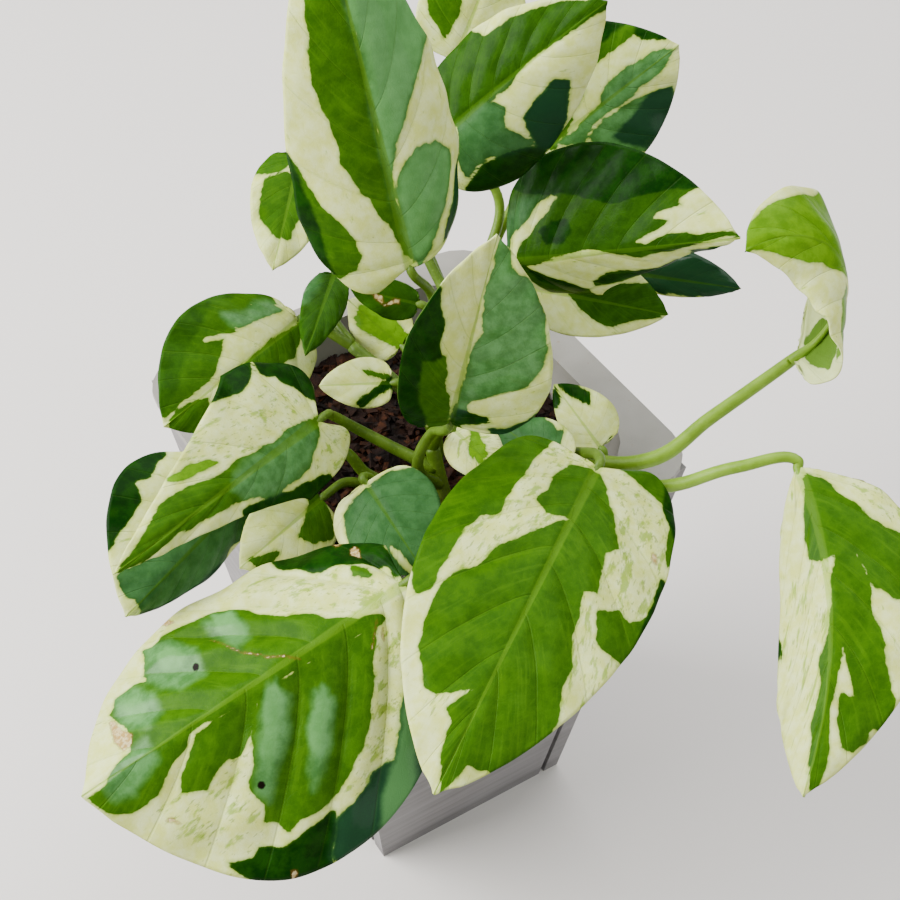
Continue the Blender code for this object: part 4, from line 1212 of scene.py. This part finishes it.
def husk_surface():
    """Damp coco husk: near-black fibre with red-brown chips."""
    made, n, shader = new_material("coco_husk_chips")
    place = n.object_place()
    fibre = n.group(
        FINE_GRAIN, Place=place, Scale=800.0, Detail=4.0, Rough_Base=0.75, Rough_Span=0.2
    )
    grain = fibre["Grain"]
    lumps = n.noise(place, scale=240.0)
    base = n.mix(n.step(lumps, 0.35, 0.7), *HUSK_DARK)
    warm = n.mix(n.step(grain, 0.35, 0.7), *HUSK_WARM)
    base = n.mix(n.step(n.attribute("tone"), 0.55, 0.95), base, warm)
    base = n.tint(base, HUSK_FIBRE, n.step(grain, 0.6, 0.75), strength=0.35)
    n.put(shader, Base_Color=base, Roughness=fibre["Roughness"], Specular_IOR_Level=0.15)
    n.bump(shader, n.plus(grain, lumps), strength=1.0, distance=0.0006)
    return made


def wood_surface(name, **grain):
    """Sawn wood with its own grain direction, tones and wash."""
    made, n, shader = new_material(name)
    sawn = n.group(SAWN_GRAIN, Place=n.object_place(), **grain)
    n.put(shader, Base_Color=sawn["Colour"], Roughness=sawn["Roughness"])
    n.bump(shader, sawn["Height"], strength=0.5, distance=0.0004)
    return made


def liner_surface():
    """Off-white moulded plastic with its colour darkened to a painted shade grey, satin, with a
    faint grain and a few brown specks.
    """
    made, n, shader = new_material("liner_plastic_satin")
    place = n.object_place()
    skin = n.group(
        FINE_GRAIN, Place=place, Scale=2200.0, Detail=2.0, Rough_Base=0.38, Rough_Span=0.15
    )
    base = n.mix(n.step(n.noise(place, scale=60.0), 0.3, 0.7), *LINER_SHADED_WHITE)
    specks = n.step(n.noise(place, scale=700.0, detail=2.0), 0.68, 0.74)
    base = n.tint(base, LINER_SPECK, specks, strength=0.5)
    n.put(shader, Base_Color=base, Roughness=skin["Roughness"])
    n.bump(shader, skin["Grain"], strength=0.3, distance=0.0002)
    return made


def floor_surface():
    """A plain pale floor."""
    made, n, shader = new_material("pale_floor")
    cloud = n.noise(n.object_place(), scale=6.0, detail=2.0)
    n.put(shader, Base_Color=n.mix(cloud, *FLOOR_PALE), Roughness=0.75)
    return made


def dress_node(name, surface):
    """Gives a solid that stays in sight its material."""
    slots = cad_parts[name].data.materials
    slots.clear()
    slots.append(surface)


# Studio


def turned(point):
    """A place of the plant's frame, millimetres, in the planter's frame, metres."""
    return Vector(to_world([point])[0])


def make_light(name, place, target, size, power, tint):
    """A soft square lamp that faces a target."""
    lamp = bpy.data.lights.new(name, "AREA")
    lamp.size = size
    lamp.energy = power
    lamp.color = tint
    made = new_object(name, lamp)
    made.location = turned(place)
    aim = turned(target) - made.location
    made.rotation_euler = aim.to_track_quat("-Z", "Y").to_euler()


def make_studio():
    """The floor, the lamps, the surrounding light and the camera."""
    mesh = bpy.data.meshes.new("floor")
    far = FLOOR_REACH
    corners = [(-far, -far, 0), (far, -far, 0), (far, far, 0), (-far, far, 0)]
    mesh.from_pydata(corners, [], [(0, 1, 2, 3)])
    mesh.materials.append(floor_surface())
    floor = new_object("floor", mesh)
    for name, settings in LAMPS.items():
        make_light(name, *settings)
    world = bpy.data.worlds.new("soft_room")
    world.use_nodes = True
    bpy.context.scene.world = world
    back = world.node_tree.nodes["Background"]
    back.inputs["Color"].default_value = ROOM_TINT
    back.inputs["Strength"].default_value = ROOM_STRENGTH
    lens = bpy.data.cameras.new("camera")
    lens.lens = CAMERA_LENS
    lens.sensor_width = SENSOR_WIDTH
    camera = new_object("camera", lens)
    camera.location = turned(CAMERA_PLACE)
    camera.rotation_euler = (CAMERA_PITCH, 0.0, PLANT_TURN)
    bpy.context.scene.camera = camera


BLADES = {blade.name: blade for blade in LEAVES}
SIDES = ("front", "right", "back", "left")
make_studio()
leaf_skin = leaf_surface()
for order, blade in enumerate(LEAVES):
    make_leaf(blade, order, leaf_skin)
stalk_skin = stalk_surface()
for name in VINES:
    make_vine(name, stalk_skin)
husk = husk_surface()
make_husk(husk)
dress_node("soil", husk)
dress_node("liner", liner_surface())
grey_wood = wood_surface(
    "grey_washed_wood",
    Stretch=(10, 10, 430),
    Light=colour(0.245, 0.235, 0.236),
    Shade=colour(0.150, 0.141, 0.142),
    Wash=colour(0.29, 0.285, 0.285),
    Wash_Share=0.5,
)
for side in SIDES:
    dress_node("side_board_" + side, grey_wood)
dark_wood = wood_surface(
    "dark_wood",
    Stretch=(300, 300, 40),
    Light=colour(0.045, 0.022, 0.013),
    Shade=colour(0.015, 0.007, 0.004),
    Wash=colour(0.12, 0.10, 0.09),
    Wash_Share=0.1,
)
for side in SIDES:
    dress_node("corner_post_" + side, dark_wood)
dress_node("floor_board", dark_wood)
